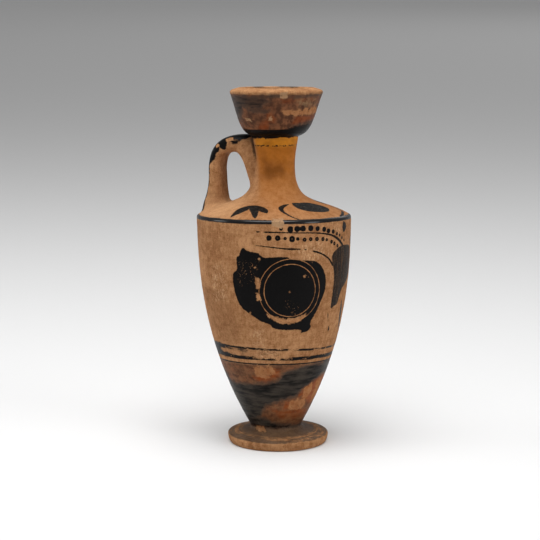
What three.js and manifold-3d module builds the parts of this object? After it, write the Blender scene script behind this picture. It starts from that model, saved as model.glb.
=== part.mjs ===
// A small wheel-thrown clay oil jar, a lekythos: a body that tapers down to a disc foot,
// a sloping shoulder with a sharp edge, a narrow neck, a cup-shaped mouth and one strap
// handle from the top of the neck to the edge of the shoulder. Its parts were thrown or
// pulled apart, joined wet and fired as one piece, so it is one hollow solid.
//
// Millimetres, +Z up. The origin is the centre of the foot's underside. The handle is on
// the -X side and the middle of the painted front on the +X side.
import * as THREE from 'three';
import { mergeVertices } from 'three/addons/utils/BufferGeometryUtils.js';
import Module from 'manifold-3d';

// Foot: a disc whose edge is undercut a little towards the table, with a gently raised top.
const FOOT_RADIUS = 21.3;
const FOOT_UNDERCUT = 0.9;
const FOOT_EDGE_HEIGHT = 4.0;
const FOOT_TOP_RISE = 1.4;
const FOOT_EDGE_ROUNDING = 0.8;

// Body and shoulder, measured up from the top of the foot.
const STEM_RADIUS = 10.9;
const STEM_FILLET = 2.0;
const BODY_HEIGHT = 90.6;
const BODY_RADIUS = 32.6;
const SHOULDER_EDGE_ROUNDING = 1.2;
const SHOULDER_RISE = 7.2;

// Neck and mouth.
const NECK_HEIGHT = 33.8;
const NECK_WAIST_HEIGHT = 22.2;
const NECK_WAIST_RADIUS = 8.4;
const NECK_TOP_RADIUS = 9.6;
const MOUTH_HEIGHT = 20.3;
const MOUTH_RADIUS = 19.6;
const LIP_WIDTH = 4.2;
const LIP_BEVEL_DROP = 1.7;
const LIP_ROUNDING = 0.6;

// Hollow.
const BODY_WALL = 3.2;
const NECK_WALL = 3.5;
const FLOOR_THICKNESS = 6.5;
const MOUTH_WALL = 3.4;

// Handle: how far its back stands out from the axis, the strap's section, how full the arch is,
// where the leg starts to splay, how far inside the body's radius it splays and ends, and how
// deep the strap is where it is pressed on to the neck and the shoulder.
const HANDLE_REACH = 28.6;
const HANDLE_THICKNESS = 5.6;
const HANDLE_WIDTH = 13.0;
const HANDLE_SQUARENESS = 2.7;
const HANDLE_ARCH_PULL = 2.1;
const HANDLE_SPLAY_HEIGHT = 4.4;
const HANDLE_SPLAY_INSET = 1.9;
const HANDLE_FOOT_INSET = 0.5;
const NECK_PAD = 22.5;
const NECK_PAD_SPREAD = 6.9;
const SHOULDER_PAD = 15.0;
const SHOULDER_PAD_SPREAD = 9.5;

// The hand-made pot stands a little askew: the body leans on its foot, its axis drifts
// towards the handle on the way up, and the neck and mouth drift back again.
const LEAN_SIDEWAYS_DEG = 3.1;
const LEAN_TO_HANDLE_DEG = 1.1;
const BODY_DRIFT_PER_MM = 0.010;
const NECK_DRIFT_PER_MM = 0.030;
const BODY_OFFSET = 1.0;

// Facets.
const ROUND_SEGMENTS = 54;
const HANDLE_SIDES = 18;
const HANDLE_STEPS = 24;
// Edges shorter than this are merged away after the joins and cuts.
const SLIVER = 0.02;
// How far a joined piece runs on inside its neighbour, and a cut runs on past a face.
const OVERRUN = 1.6;

const FOOT_HEIGHT = FOOT_EDGE_HEIGHT + FOOT_TOP_RISE;
const SHOULDER_Z = BODY_HEIGHT;
const WAIST_Z = SHOULDER_Z + NECK_WAIST_HEIGHT;
const MOUTH_Z = SHOULDER_Z + NECK_HEIGHT;
const LIP_Z = MOUTH_Z + MOUTH_HEIGHT;
const LIP_EDGE_Z = LIP_Z - LIP_BEVEL_DROP;
const NECK_BORE_RADIUS = NECK_WAIST_RADIUS - NECK_WALL;

// A profile is a list of [radius, height] stretches joined end to end.
function straight(from, to) {
  return [new THREE.Vector2(...from), new THREE.Vector2(...to)];
}

function bend(from, pullFrom, pullTo, to, steps) {
  const corners = [from, pullFrom, pullTo, to].map((corner) => new THREE.Vector2(...corner));
  return new THREE.CubicBezierCurve(...corners).getPoints(steps);
}

function joinStretches(...stretches) {
  const closeBy = 1e-6;
  const points = [];
  for (const point of stretches.flat()) {
    const last = points.at(-1);
    if (!last || last.distanceTo(point) > closeBy) points.push(point);
  }
  return points;
}

// The same stretch, moved into the clay by the thickness of a wall. Stretches run upwards.
function inset(points, wall) {
  return points.map((point, i) => {
    const ahead = points[Math.min(i + 1, points.length - 1)];
    const behind = points[Math.max(i - 1, 0)];
    const along = ahead.clone().sub(behind).normalize();
    return new THREE.Vector2(point.x - along.y * wall, point.y + along.x * wall);
  });
}

// LatheGeometry turns about Y; this stands it up on +Z with its faces outwards.
function turnOnWheel(profile) {
  return new THREE.LatheGeometry(profile, ROUND_SEGMENTS).rotateX(Math.PI / 2);
}

function footProfile() {
  const round = FOOT_EDGE_ROUNDING;
  const base = FOOT_RADIUS - FOOT_UNDERCUT;
  const edgeTop = FOOT_EDGE_HEIGHT - round;
  return joinStretches(
    straight([0, 0], [base, 0]),
    bend([base, 0], [base + FOOT_UNDERCUT / 2, 0], [FOOT_RADIUS, edgeTop / 2],
      [FOOT_RADIUS, edgeTop], 3),
    bend([FOOT_RADIUS, edgeTop], [FOOT_RADIUS, edgeTop + round * 0.6],
      [FOOT_RADIUS - round * 0.4, FOOT_EDGE_HEIGHT], [FOOT_RADIUS - round, FOOT_EDGE_HEIGHT], 3),
    straight([STEM_RADIUS + STEM_FILLET, FOOT_HEIGHT], [0, FOOT_HEIGHT]),
  );
}

function bodyStretch() {
  const span = BODY_HEIGHT - STEM_FILLET;
  return bend([STEM_RADIUS, STEM_FILLET], [BODY_RADIUS, STEM_FILLET + span * 0.43],
    [BODY_RADIUS * 0.982, STEM_FILLET + span * 0.81],
    [BODY_RADIUS, SHOULDER_Z - SHOULDER_EDGE_ROUNDING], 12);
}

function shoulderStretch() {
  const round = SHOULDER_EDGE_ROUNDING;
  const run = BODY_RADIUS - NECK_WAIST_RADIUS;
  const start = [BODY_RADIUS - round * 0.8, SHOULDER_Z + round * 0.8];
  return bend(start, [start[0] - run * 0.54, start[1] + SHOULDER_RISE],
    [NECK_WAIST_RADIUS, SHOULDER_Z + SHOULDER_RISE * 0.54], [NECK_WAIST_RADIUS, WAIST_Z], 9);
}

function cupStretch() {
  const flare = MOUTH_RADIUS - NECK_TOP_RADIUS;
  const depth = LIP_EDGE_Z - MOUTH_Z;
  return bend([NECK_TOP_RADIUS + flare * 0.03, MOUTH_Z],
    [NECK_TOP_RADIUS + flare * 0.6, MOUTH_Z + depth * 0.1],
    [NECK_TOP_RADIUS + flare * 0.62, MOUTH_Z + depth * 0.42],
    [MOUTH_RADIUS - LIP_ROUNDING * 0.2, LIP_EDGE_Z - LIP_ROUNDING], 7);
}

function outerProfile() {
  const fillet = STEM_RADIUS + STEM_FILLET * 0.8;
  const body = bodyStretch();
  const shoulder = shoulderStretch();
  const cup = cupStretch();
  const crest = MOUTH_RADIUS - LIP_WIDTH;
  const bevelStart = [MOUTH_RADIUS - LIP_WIDTH * 0.25, LIP_EDGE_Z + LIP_BEVEL_DROP * 0.5];
  const wallTop = body.at(-1);
  const waistToTop = MOUTH_Z - WAIST_Z;
  return joinStretches(
    straight([0, -OVERRUN], [fillet, -OVERRUN]),
    bend([fillet, 0], [STEM_RADIUS + STEM_FILLET * 0.2, 0],
      [STEM_RADIUS - STEM_FILLET * 0.2, STEM_FILLET * 0.5], [STEM_RADIUS, STEM_FILLET], 3),
    body,
    bend([wallTop.x, wallTop.y], [BODY_RADIUS, SHOULDER_Z],
      [BODY_RADIUS, SHOULDER_Z + SHOULDER_EDGE_ROUNDING * 0.5], [shoulder[0].x, shoulder[0].y], 3),
    shoulder,
    bend([NECK_WAIST_RADIUS, WAIST_Z], [NECK_WAIST_RADIUS, WAIST_Z + waistToTop * 0.4],
      [NECK_TOP_RADIUS * 0.97, MOUTH_Z - waistToTop * 0.3], [NECK_TOP_RADIUS, MOUTH_Z], 3),
    cup,
    bend([cup.at(-1).x, cup.at(-1).y], [MOUTH_RADIUS, LIP_EDGE_Z - LIP_ROUNDING * 0.2],
      [MOUTH_RADIUS, LIP_EDGE_Z + LIP_ROUNDING * 0.5], bevelStart, 3),
    straight([crest + LIP_ROUNDING * 0.5, LIP_Z], [0, LIP_Z]),
  );
}

// The hollow as a solid of its own. It runs out through the top of the mouth.
function hollowProfile() {
  const corner = BODY_WALL;
  const inside = BODY_RADIUS - BODY_WALL;
  const ceiling = SHOULDER_Z - NECK_WALL;
  const wall = inset(bodyStretch(), BODY_WALL)
    .filter((point) => point.y > FLOOR_THICKNESS && point.y < ceiling - corner);
  const underShoulder = inset(shoulderStretch(), NECK_WALL).filter((point) => point.x < inside - corner);
  const cupFloor = MOUTH_Z + MOUTH_WALL * 0.6;
  const cup = inset(cupStretch(), MOUTH_WALL)
    .filter((point) => point.y > cupFloor && point.y < LIP_Z - LIP_WIDTH);
  const mouthEdge = MOUTH_RADIUS - LIP_WIDTH - LIP_ROUNDING * 0.4;
  return joinStretches(
    straight([0, FLOOR_THICKNESS], [wall[0].x * 0.7, FLOOR_THICKNESS]),
    wall,
    underShoulder,
    straight([NECK_BORE_RADIUS, WAIST_Z], [NECK_BORE_RADIUS, MOUTH_Z]),
    cup,
    straight([mouthEdge, LIP_Z - LIP_ROUNDING], [mouthEdge, LIP_Z + OVERRUN]),
    straight([mouthEdge, LIP_Z + OVERRUN], [0, LIP_Z + OVERRUN]),
  );
}

// The handle's outer face in the XZ plane, from inside the neck over the arch and down
// to the edge of the shoulder. Distances run out from the axis, towards -X.
function handleBack() {
  const point = (out, z) => new THREE.Vector2(out, z);
  const inNeck = point(NECK_BORE_RADIUS + NECK_WALL * 0.2, MOUTH_Z);
  const legTop = point(HANDLE_REACH, SHOULDER_Z + NECK_HEIGHT * 0.56);
  const path = new THREE.CurvePath();
  path.add(new THREE.CubicBezierCurve(inNeck, point(HANDLE_REACH * 0.775, MOUTH_Z + HANDLE_ARCH_PULL),
    point(HANDLE_REACH, MOUTH_Z - HANDLE_ARCH_PULL), legTop));
  path.add(new THREE.CubicBezierCurve(legTop, point(HANDLE_REACH, SHOULDER_Z + NECK_HEIGHT * 0.29),
    point(BODY_RADIUS - HANDLE_SPLAY_INSET, SHOULDER_Z + HANDLE_SPLAY_HEIGHT),
    point(BODY_RADIUS - HANDLE_FOOT_INSET, SHOULDER_Z - SHOULDER_EDGE_ROUNDING)));
  return path;
}

// A strap that is thick and wide where it is pressed on to the neck and the shoulder.
function handleGeometry() {
  const back = handleBack();
  const length = back.getLength();
  const neckFlare = (along) => Math.exp(-((along * length / NECK_PAD_SPREAD) ** 2));
  const shoulderFlare = (along) => Math.exp(-(((1 - along) * length / SHOULDER_PAD_SPREAD) ** 2));
  const roundedBox = (share) => Math.sign(share) * Math.abs(share) ** (2 / HANDLE_SQUARENESS);
  const strap = new THREE.CylinderGeometry(1, 1, 1, HANDLE_SIDES, HANDLE_STEPS);
  const position = strap.getAttribute('position');
  for (let i = 0; i < position.count; i += 1) {
    const along = THREE.MathUtils.clamp(position.getY(i) + 0.5, 0, 1);
    const outer = back.getPointAt(along);
    const tangent = back.getTangentAt(along);
    const thickness = HANDLE_THICKNESS
      + (NECK_PAD - HANDLE_THICKNESS) * neckFlare(along)
      + (SHOULDER_PAD - HANDLE_THICKNESS) * shoulderFlare(along);
    const width = HANDLE_WIDTH * (1 - 0.2 * neckFlare(along) + 0.3 * shoulderFlare(along));
    const depth = (1 - roundedBox(position.getX(i))) * thickness / 2;
    const out = outer.x + tangent.y * depth;
    const height = outer.y - tangent.x * depth;
    position.setXYZ(i, -out, -roundedBox(position.getZ(i)) * width / 2, height);
  }
  return strap;
}

// Moves a shape from the body's own straight axis to where the leaning pot has it.
function settleOnFoot(geometry) {
  const position = geometry.getAttribute('position');
  for (let i = 0; i < position.count; i += 1) {
    const height = position.getZ(i);
    const aboveShoulder = Math.max(0, height - SHOULDER_Z);
    const drift = NECK_DRIFT_PER_MM * aboveShoulder - BODY_DRIFT_PER_MM * height;
    position.setX(i, position.getX(i) + drift);
  }
  return geometry
    .rotateX(-THREE.MathUtils.degToRad(LEAN_SIDEWAYS_DEG))
    .rotateY(-THREE.MathUtils.degToRad(LEAN_TO_HANDLE_DEG))
    .translate(-BODY_OFFSET, 0, FOOT_HEIGHT);
}

const wasm = await Module();
wasm.setup();

function toSolid(geometry) {
  const bare = geometry.clone();
  bare.deleteAttribute('normal');
  bare.deleteAttribute('uv');
  const merged = mergeVertices(bare, 1e-4);
  const corners = merged.getIndex().array;
  const triangles = [];
  for (let i = 0; i < corners.length; i += 3) {
    const [a, b, c] = [corners[i], corners[i + 1], corners[i + 2]];
    if (a !== b && b !== c && c !== a) triangles.push(a, b, c);
  }
  return new wasm.Manifold(new wasm.Mesh({
    numProp: 3,
    vertProperties: new Float32Array(merged.getAttribute('position').array),
    triVerts: new Uint32Array(triangles),
  }));
}

function toGeometry(solid) {
  const mesh = solid.getMesh();
  const geometry = new THREE.BufferGeometry();
  geometry.setAttribute('position', new THREE.Float32BufferAttribute(mesh.vertProperties, 3));
  geometry.setIndex(Array.from(mesh.triVerts));
  geometry.computeVertexNormals();
  return geometry;
}

function lekythos() {
  const foot = toSolid(turnOnWheel(footProfile()));
  const outside = toSolid(settleOnFoot(turnOnWheel(outerProfile())));
  const handle = toSolid(settleOnFoot(handleGeometry()));
  const hollow = toSolid(settleOnFoot(turnOnWheel(hollowProfile())));
  const pot = foot.add(outside).add(handle).subtract(hollow);
  return toGeometry(pot.simplify(SLIVER));
}

const clay = new THREE.MeshStandardMaterial({ color: 0xb5794a, roughness: 0.72, metalness: 0 });
const jar = new THREE.Mesh(lekythos(), clay);
jar.name = 'lekythos';

const model = new THREE.Group();
model.add(jar);

export default model;
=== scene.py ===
# A small wheel-thrown lekythos of orange clay, painted with a dark slip: large eyes with rings
# scratched through them, brow lines with rows of dots, a plume between the eyes, marks and leaves on
# the shoulder, and bands. The jar is one fired piece, so it is one mesh with a real wall.
# Lengths are in millimetres until the finished mesh is scaled to the frame. The jar is shaped on
# a straight axis first, with heights measured up from the top of the foot, and then settled
# askew on its foot as the real one is. Round the body, places are given in millimetres at the
# body's full radius from the middle of the painted front, which is on +X, minus being the side
# that the camera sees.
import math

import bmesh
import bpy
import numpy as np
from mathutils import Matrix, Vector
from mathutils import noise as texture
from mathutils.kdtree import KDTree


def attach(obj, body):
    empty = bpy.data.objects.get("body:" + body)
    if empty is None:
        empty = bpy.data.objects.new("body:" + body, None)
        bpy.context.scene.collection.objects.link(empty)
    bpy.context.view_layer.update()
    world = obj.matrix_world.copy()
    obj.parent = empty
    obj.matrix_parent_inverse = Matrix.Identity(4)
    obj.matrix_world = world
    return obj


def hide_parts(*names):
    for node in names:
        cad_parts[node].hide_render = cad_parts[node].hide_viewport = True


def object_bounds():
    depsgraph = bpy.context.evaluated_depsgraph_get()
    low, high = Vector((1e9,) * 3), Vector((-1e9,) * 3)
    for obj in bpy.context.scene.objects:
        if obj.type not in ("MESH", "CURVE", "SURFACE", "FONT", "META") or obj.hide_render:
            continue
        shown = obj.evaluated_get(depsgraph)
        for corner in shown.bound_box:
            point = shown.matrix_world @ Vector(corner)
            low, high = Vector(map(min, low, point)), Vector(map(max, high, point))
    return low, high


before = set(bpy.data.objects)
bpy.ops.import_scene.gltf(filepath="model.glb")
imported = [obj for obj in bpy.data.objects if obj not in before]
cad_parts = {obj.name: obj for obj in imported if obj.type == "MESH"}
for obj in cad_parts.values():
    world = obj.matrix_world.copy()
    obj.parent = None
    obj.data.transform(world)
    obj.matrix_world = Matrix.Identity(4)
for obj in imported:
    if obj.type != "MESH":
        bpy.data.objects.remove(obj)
cad_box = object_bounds()

JAR = "lekythos"
JAR_HEIGHT = 150.77
UNIT = (cad_box[1][2] - cad_box[0][2]) / JAR_HEIGHT

# Foot.
FOOT_RADIUS = 21.3
FOOT_UNDERCUT = 0.9
FOOT_EDGE_HEIGHT = 4.0
FOOT_TOP_RISE = 1.4
FOOT_EDGE_ROUNDING = 0.8
FOOT_HEIGHT = FOOT_EDGE_HEIGHT + FOOT_TOP_RISE

# Body and shoulder.
STEM_RADIUS = 10.9
STEM_FILLET = 2.0
BODY_HEIGHT = 90.6
BODY_RADIUS = 32.6
SHOULDER_EDGE_ROUNDING = 1.2
SHOULDER_RISE = 7.2

# Neck and mouth.
NECK_HEIGHT = 33.8
NECK_WAIST_HEIGHT = 22.2
NECK_WAIST_RADIUS = 8.4
NECK_TOP_RADIUS = 9.6
MOUTH_HEIGHT = 20.3
MOUTH_RADIUS = 19.6
LIP_WIDTH = 4.2
LIP_BEVEL_DROP = 1.7
LIP_ROUNDING = 0.6
WAIST_Z = BODY_HEIGHT + NECK_WAIST_HEIGHT
MOUTH_Z = BODY_HEIGHT + NECK_HEIGHT
LIP_Z = MOUTH_Z + MOUTH_HEIGHT
LIP_EDGE_Z = LIP_Z - LIP_BEVEL_DROP

# Hollow.
BODY_WALL = 3.2
NECK_WALL = 3.5
FLOOR_THICKNESS = 6.5
MOUTH_WALL = 3.4
NECK_BORE_RADIUS = NECK_WAIST_RADIUS - NECK_WALL

# Handle.
HANDLE_REACH = 28.6
HANDLE_THICKNESS = 5.6
HANDLE_WIDTH = 13.0
HANDLE_SQUARENESS = 2.7
HANDLE_ARCH_PULL = 2.1
HANDLE_SPLAY_HEIGHT = 5.4
HANDLE_SPLAY_INSET = 0.4
HANDLE_FOOT_INSET = 0.2
HANDLE_LEG_TUCK = 0.8
NECK_PAD = 23.5
NECK_PAD_SPREAD = 7.0
SHOULDER_PAD = 20.0
SHOULDER_PAD_SPREAD = 8.6
ARCH_SWELL = 1.2
ARCH_SWELL_PLACE = 15.0
ARCH_SWELL_SPREAD = 7.0
CLEFT_REACH = 0.8
ROOT_REACH = 2.6

# How the fired jar stands askew.
LEAN_SIDEWAYS = math.radians(3.1)
LEAN_TO_HANDLE = math.radians(1.1)
BODY_DRIFT = 0.010
NECK_DRIFT = 0.030
BODY_OFFSET = 1.0

# Mesh fineness.
SEGMENTS = 256
FINE_STEP = 0.72
MEDIUM_STEP = 0.95
COARSE_STEP = 4.5
HANDLE_SIDES = 44
HANDLE_STEPS = 96
CORE_SEGMENTS = 64
BACK_STEP = 0.3
LINE_STEP = 0.4
SOFTENING_PASSES = 24

# Finger ridges of the throwing.
RIDGE_DEPTH = 0.16
RIDGE_SPACING = 2.6
RIDGE_SEED = 4.0

# The painting: how far off an area its distance is still told, between which heights the
# shoulder's marks lie, where its own colour ends, and where the cup's slip begins.
FARTHEST = 6.0
MARKS_START = BODY_HEIGHT + 0.6
MARKS_END = BODY_HEIGHT + 12
SHOULDER_TOP = 104.0
CUP_START = 128.0
CUP_FULL = 130.0

# Camera: the photograph's view, with the focal length given in its 540-pixel frame.
VIEW_AZIMUTH = math.radians(20.0)
VIEW_ELEVATION = math.radians(9.985)
VIEW_DISTANCE = 843.0
AIM_SIDEWAYS = -3.4
AIM_HEIGHT = 73.6
FOCAL_PIXELS = 2000.0
PHOTO_PIXELS = 540.0
SENSOR_MM = 36.0

# Studio, in metres and watts: name, place, size and power of each lamp.
LAMPS = [("above", (0.0, -0.14, 0.85), 0.75, 7.4), ("left", (-1.0, -0.35, 0.4), 0.5, 2.2),
         ("right", (1.1, -0.2, 0.4), 0.5, 3.0), ("floor behind", (0.0, 3.4, 1.8), 1.6, 6)]
LAMP_AIM = (0, 0, 0.07)
FLOOR_REACH = 8.0
STUDIO_GREY = (0.8, 0.8, 0.8, 1)
SKY_STRENGTH = 0.38


# Profiles of the turned shape, as arrays of (radius, height).

def bend(start, pull, pull_end, end, count=240):
    t = np.linspace(0, 1, count)[:, None]
    a, b, c, d = (np.array(p, float) for p in (start, pull, pull_end, end))
    return (1 - t) ** 3 * a + 3 * (1 - t) ** 2 * t * b + 3 * (1 - t) * t * t * c + t ** 3 * d


def lengths(points):
    return np.concatenate([[0], np.cumsum(np.linalg.norm(np.diff(points, axis=0), axis=1))])


def evenly(points, step):
    """The same stretch with points about a step apart, both ends kept."""
    points = np.asarray(points, float)
    run = lengths(points)
    marks = np.linspace(0, run[-1], max(2, round(run[-1] / step) + 1))
    return np.stack([np.interp(marks, run, points[:, axis]) for axis in range(points.shape[1])], -1)


def inset(points, wall):
    """An upward stretch moved into the clay by a wall's thickness."""
    along = np.gradient(points, axis=0)
    along /= np.linalg.norm(along, axis=1)[:, None]
    return points + wall * np.stack([-along[:, 1], along[:, 0]], -1)


def join(*stretches):
    points = np.vstack(stretches)
    keep = np.r_[True, np.linalg.norm(np.diff(points, axis=0), axis=1) > 1e-4]
    return points[keep]


def body_stretch():
    span = BODY_HEIGHT - STEM_FILLET
    return bend((STEM_RADIUS, STEM_FILLET), (BODY_RADIUS, STEM_FILLET + span * 0.43),
                (BODY_RADIUS * 0.982, STEM_FILLET + span * 0.81),
                (BODY_RADIUS, BODY_HEIGHT - SHOULDER_EDGE_ROUNDING))


def shoulder_stretch():
    run = BODY_RADIUS - NECK_WAIST_RADIUS
    start = (BODY_RADIUS - SHOULDER_EDGE_ROUNDING * 0.8, BODY_HEIGHT + SHOULDER_EDGE_ROUNDING * 0.8)
    return bend(start, (start[0] - run * 0.54, start[1] + SHOULDER_RISE),
                (NECK_WAIST_RADIUS, BODY_HEIGHT + SHOULDER_RISE * 0.54), (NECK_WAIST_RADIUS, WAIST_Z))


def neck_stretch():
    rise = MOUTH_Z - WAIST_Z
    return bend((NECK_WAIST_RADIUS, WAIST_Z), (NECK_WAIST_RADIUS, WAIST_Z + rise * 0.4),
                (NECK_TOP_RADIUS * 0.97, MOUTH_Z - rise * 0.3), (NECK_TOP_RADIUS, MOUTH_Z))


def cup_stretch():
    flare = MOUTH_RADIUS - NECK_TOP_RADIUS
    depth = LIP_EDGE_Z - MOUTH_Z
    return bend((NECK_TOP_RADIUS + flare * 0.03, MOUTH_Z),
                (NECK_TOP_RADIUS + flare * 0.6, MOUTH_Z + depth * 0.1),
                (NECK_TOP_RADIUS + flare * 0.62, MOUTH_Z + depth * 0.42),
                (MOUTH_RADIUS - LIP_ROUNDING * 0.2, LIP_EDGE_Z - LIP_ROUNDING))


def foot_stretches():
    base = FOOT_RADIUS - FOOT_UNDERCUT
    edge_top = FOOT_EDGE_HEIGHT - FOOT_EDGE_ROUNDING
    fillet = STEM_RADIUS + STEM_FILLET * 0.8
    heel = 0.5
    belly, edge = (FOOT_RADIUS - 0.3, edge_top * 0.45), (FOOT_RADIUS, edge_top)
    stretches = [
        evenly([(0, 0), (base - heel, 0)], COARSE_STEP * 0.6),
        evenly(bend((base - heel, 0), (base, 0), (base + FOOT_UNDERCUT * 0.3, heel), belly), 0.4),
        evenly(bend(belly, (FOOT_RADIUS, edge_top * 0.7), edge, edge), 0.5),
        evenly(bend(edge, (FOOT_RADIUS, edge_top + FOOT_EDGE_ROUNDING * 0.6),
                    (FOOT_RADIUS - FOOT_EDGE_ROUNDING * 0.4, FOOT_EDGE_HEIGHT),
                    (FOOT_RADIUS - FOOT_EDGE_ROUNDING, FOOT_EDGE_HEIGHT)), 0.3),
        evenly([(FOOT_RADIUS - FOOT_EDGE_ROUNDING, FOOT_EDGE_HEIGHT), (fillet, FOOT_HEIGHT)], MEDIUM_STEP),
    ]
    fillet_curve = bend((fillet, 0), (STEM_RADIUS + STEM_FILLET * 0.2, 0),
                        (STEM_RADIUS - STEM_FILLET * 0.2, STEM_FILLET * 0.5), (STEM_RADIUS, STEM_FILLET))
    return [s - (0, FOOT_HEIGHT) for s in stretches] + [evenly(fillet_curve, 0.4)]


def outside_stretches():
    body, shoulder, cup = body_stretch(), shoulder_stretch(), cup_stretch()
    ridge = bend(body[-1], (BODY_RADIUS, BODY_HEIGHT),
                 (BODY_RADIUS, BODY_HEIGHT + SHOULDER_EDGE_ROUNDING * 0.5), shoulder[0])
    bevel_start = (MOUTH_RADIUS - LIP_WIDTH * 0.25, LIP_EDGE_Z + LIP_BEVEL_DROP * 0.5)
    lip = bend(cup[-1], (MOUTH_RADIUS, LIP_EDGE_Z - LIP_ROUNDING * 0.2),
               (MOUTH_RADIUS, LIP_EDGE_Z + LIP_ROUNDING * 0.5), bevel_start)
    crest = MOUTH_RADIUS - LIP_WIDTH
    return [
        evenly(body, FINE_STEP),
        evenly(ridge, 0.35),
        evenly(shoulder, FINE_STEP),
        evenly(neck_stretch(), MEDIUM_STEP),
        evenly(cup, FINE_STEP),
        evenly(lip, 0.35),
        evenly([bevel_start, (crest + LIP_ROUNDING * 0.7, LIP_Z - 0.05)], 0.6),
    ]


def inside_stretches():
    """From the lip's crest down the cup, the bore and the body to the middle of the floor."""
    crest = MOUTH_RADIUS - LIP_WIDTH
    cup = inset(cup_stretch(), MOUTH_WALL)
    cup = cup[(cup[:, 1] > MOUTH_Z + MOUTH_WALL * 0.6) & (cup[:, 1] < LIP_Z - LIP_WIDTH)][::-1]
    over = bend((crest + LIP_ROUNDING * 0.7, LIP_Z - 0.05), (crest - LIP_ROUNDING * 0.5, LIP_Z + 0.1),
                (crest - LIP_ROUNDING, LIP_Z - LIP_ROUNDING), cup[0])
    bore = bend(cup[-1], (NECK_BORE_RADIUS + 1.5, cup[-1][1] - 0.4), (NECK_BORE_RADIUS, MOUTH_Z),
                (NECK_BORE_RADIUS, WAIST_Z))
    under = inset(shoulder_stretch(), NECK_WALL)
    under = under[under[:, 0] < BODY_RADIUS - 2 * BODY_WALL][::-1]
    wall = inset(body_stretch(), BODY_WALL)
    wall = wall[(wall[:, 1] > FLOOR_THICKNESS) & (wall[:, 1] < BODY_HEIGHT - NECK_WALL - BODY_WALL)][::-1]
    return [
        evenly(over, 0.6),
        evenly(cup, 1.3),
        evenly(bore, 1.8),
        evenly(under, COARSE_STEP),
        evenly(wall, COARSE_STEP),
        evenly([wall[-1], (wall[-1][0] * 0.7, FLOOR_THICKNESS), (0, FLOOR_THICKNESS)], COARSE_STEP),
    ]


# Geometry Nodes: turns a profile round the axis, with the soft ridges that fingers leave.

def wire(tree, kind, inputs=None, out=0, **settings):
    """Adds a node, sets or links its inputs by name or place, and gives back one output."""
    node = tree.nodes.new(kind)
    for name, value in settings.items():
        setattr(node, name, value)
    live = [socket for socket in node.inputs if socket.enabled]
    for key, value in (inputs or {}).items():
        socket = live[key] if isinstance(key, int) else next(s for s in live if s.name == key)
        if isinstance(value, bpy.types.NodeSocket):
            tree.links.new(value, socket)
        else:
            socket.default_value = value
    return [socket for socket in node.outputs if socket.enabled][out]


def calculate(tree, operation, *values):
    return wire(tree, "ShaderNodeMath", dict(enumerate(values)), operation=operation)


def wheel_tree():
    tree = bpy.data.node_groups.new("Thrown on the wheel", "GeometryNodeTree")
    tree.interface.new_socket("Profile", in_out="INPUT", socket_type="NodeSocketGeometry")
    for name, kind in (("Rows", "Int"), ("Segments", "Int"), ("Ridge depth", "Float"),
                       ("Ridge spacing", "Float"), ("Seed", "Float"), ("Clay", "Material")):
        tree.interface.new_socket(name, in_out="INPUT", socket_type="NodeSocket" + kind)
    tree.interface.new_socket("Vessel", in_out="OUTPUT", socket_type="NodeSocketGeometry")
    start = tree.nodes.new("NodeGroupInput").outputs
    columns = calculate(tree, "ADD", start["Segments"], 1)
    grid = wire(tree, "GeometryNodeMeshGrid",
                {"Size X": 1.0, "Size Y": 1.0, "Vertices X": start["Rows"], "Vertices Y": columns})
    position = wire(tree, "GeometryNodeInputPosition")
    place = tree.nodes.new("ShaderNodeSeparateXYZ")
    tree.links.new(position, place.inputs[0])
    last_row = calculate(tree, "SUBTRACT", start["Rows"], 1)
    across = calculate(tree, "ADD", place.outputs[0], 0.5)
    row = calculate(tree, "ROUND", calculate(tree, "MULTIPLY", across, last_row))
    angle = calculate(tree, "MULTIPLY", calculate(tree, "ADD", place.outputs[1], 0.5), 2 * math.pi)
    point = wire(tree, "GeometryNodeSampleIndex",
                 {"Geometry": start["Profile"], "Value": position, "Index": row},
                 data_type="FLOAT_VECTOR", domain="POINT")
    spot = tree.nodes.new("ShaderNodeSeparateXYZ")
    tree.links.new(point, spot.inputs[0])
    radius, height = spot.outputs[0], spot.outputs[2]
    cosine, sine = calculate(tree, "COSINE", angle), calculate(tree, "SINE", angle)
    turn = wire(tree, "ShaderNodeCombineXYZ", {0: cosine, 1: sine,
                2: calculate(tree, "DIVIDE", height, start["Ridge spacing"])})
    seed = wire(tree, "ShaderNodeCombineXYZ", {0: start["Seed"]})
    shifted = wire(tree, "ShaderNodeVectorMath", {0: turn, 1: seed}, operation="ADD")
    waves = wire(tree, "ShaderNodeTexNoise", {"Vector": shifted, "Scale": 1.0, "Detail": 2.0},
                 noise_dimensions="3D")
    ridge = calculate(tree, "MULTIPLY", calculate(tree, "SUBTRACT", waves, 0.5), start["Ridge depth"])
    off_axis = calculate(tree, "MINIMUM", calculate(tree, "DIVIDE", radius, STEM_RADIUS), 1.0)
    pushed = calculate(tree, "ADD", radius, calculate(tree, "MULTIPLY", ridge, off_axis))
    turned = wire(tree, "ShaderNodeCombineXYZ", {0: calculate(tree, "MULTIPLY", pushed, cosine),
                  1: calculate(tree, "MULTIPLY", pushed, sine), 2: height})
    placed = wire(tree, "GeometryNodeSetPosition", {"Geometry": grid, "Position": turned})
    closed = wire(tree, "GeometryNodeMergeByDistance", {"Geometry": placed, "Distance": 0.003})
    real = wire(tree, "GeometryNodeRealizeInstances", {"Geometry": closed})
    clad = wire(tree, "GeometryNodeSetMaterial", {"Geometry": real, "Material": start["Clay"]})
    tree.links.new(clad, tree.nodes.new("NodeGroupOutput").inputs[0])
    return tree


def link(data, name):
    piece = bpy.data.objects.new(name, data)
    bpy.context.scene.collection.objects.link(piece)
    return piece


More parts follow.
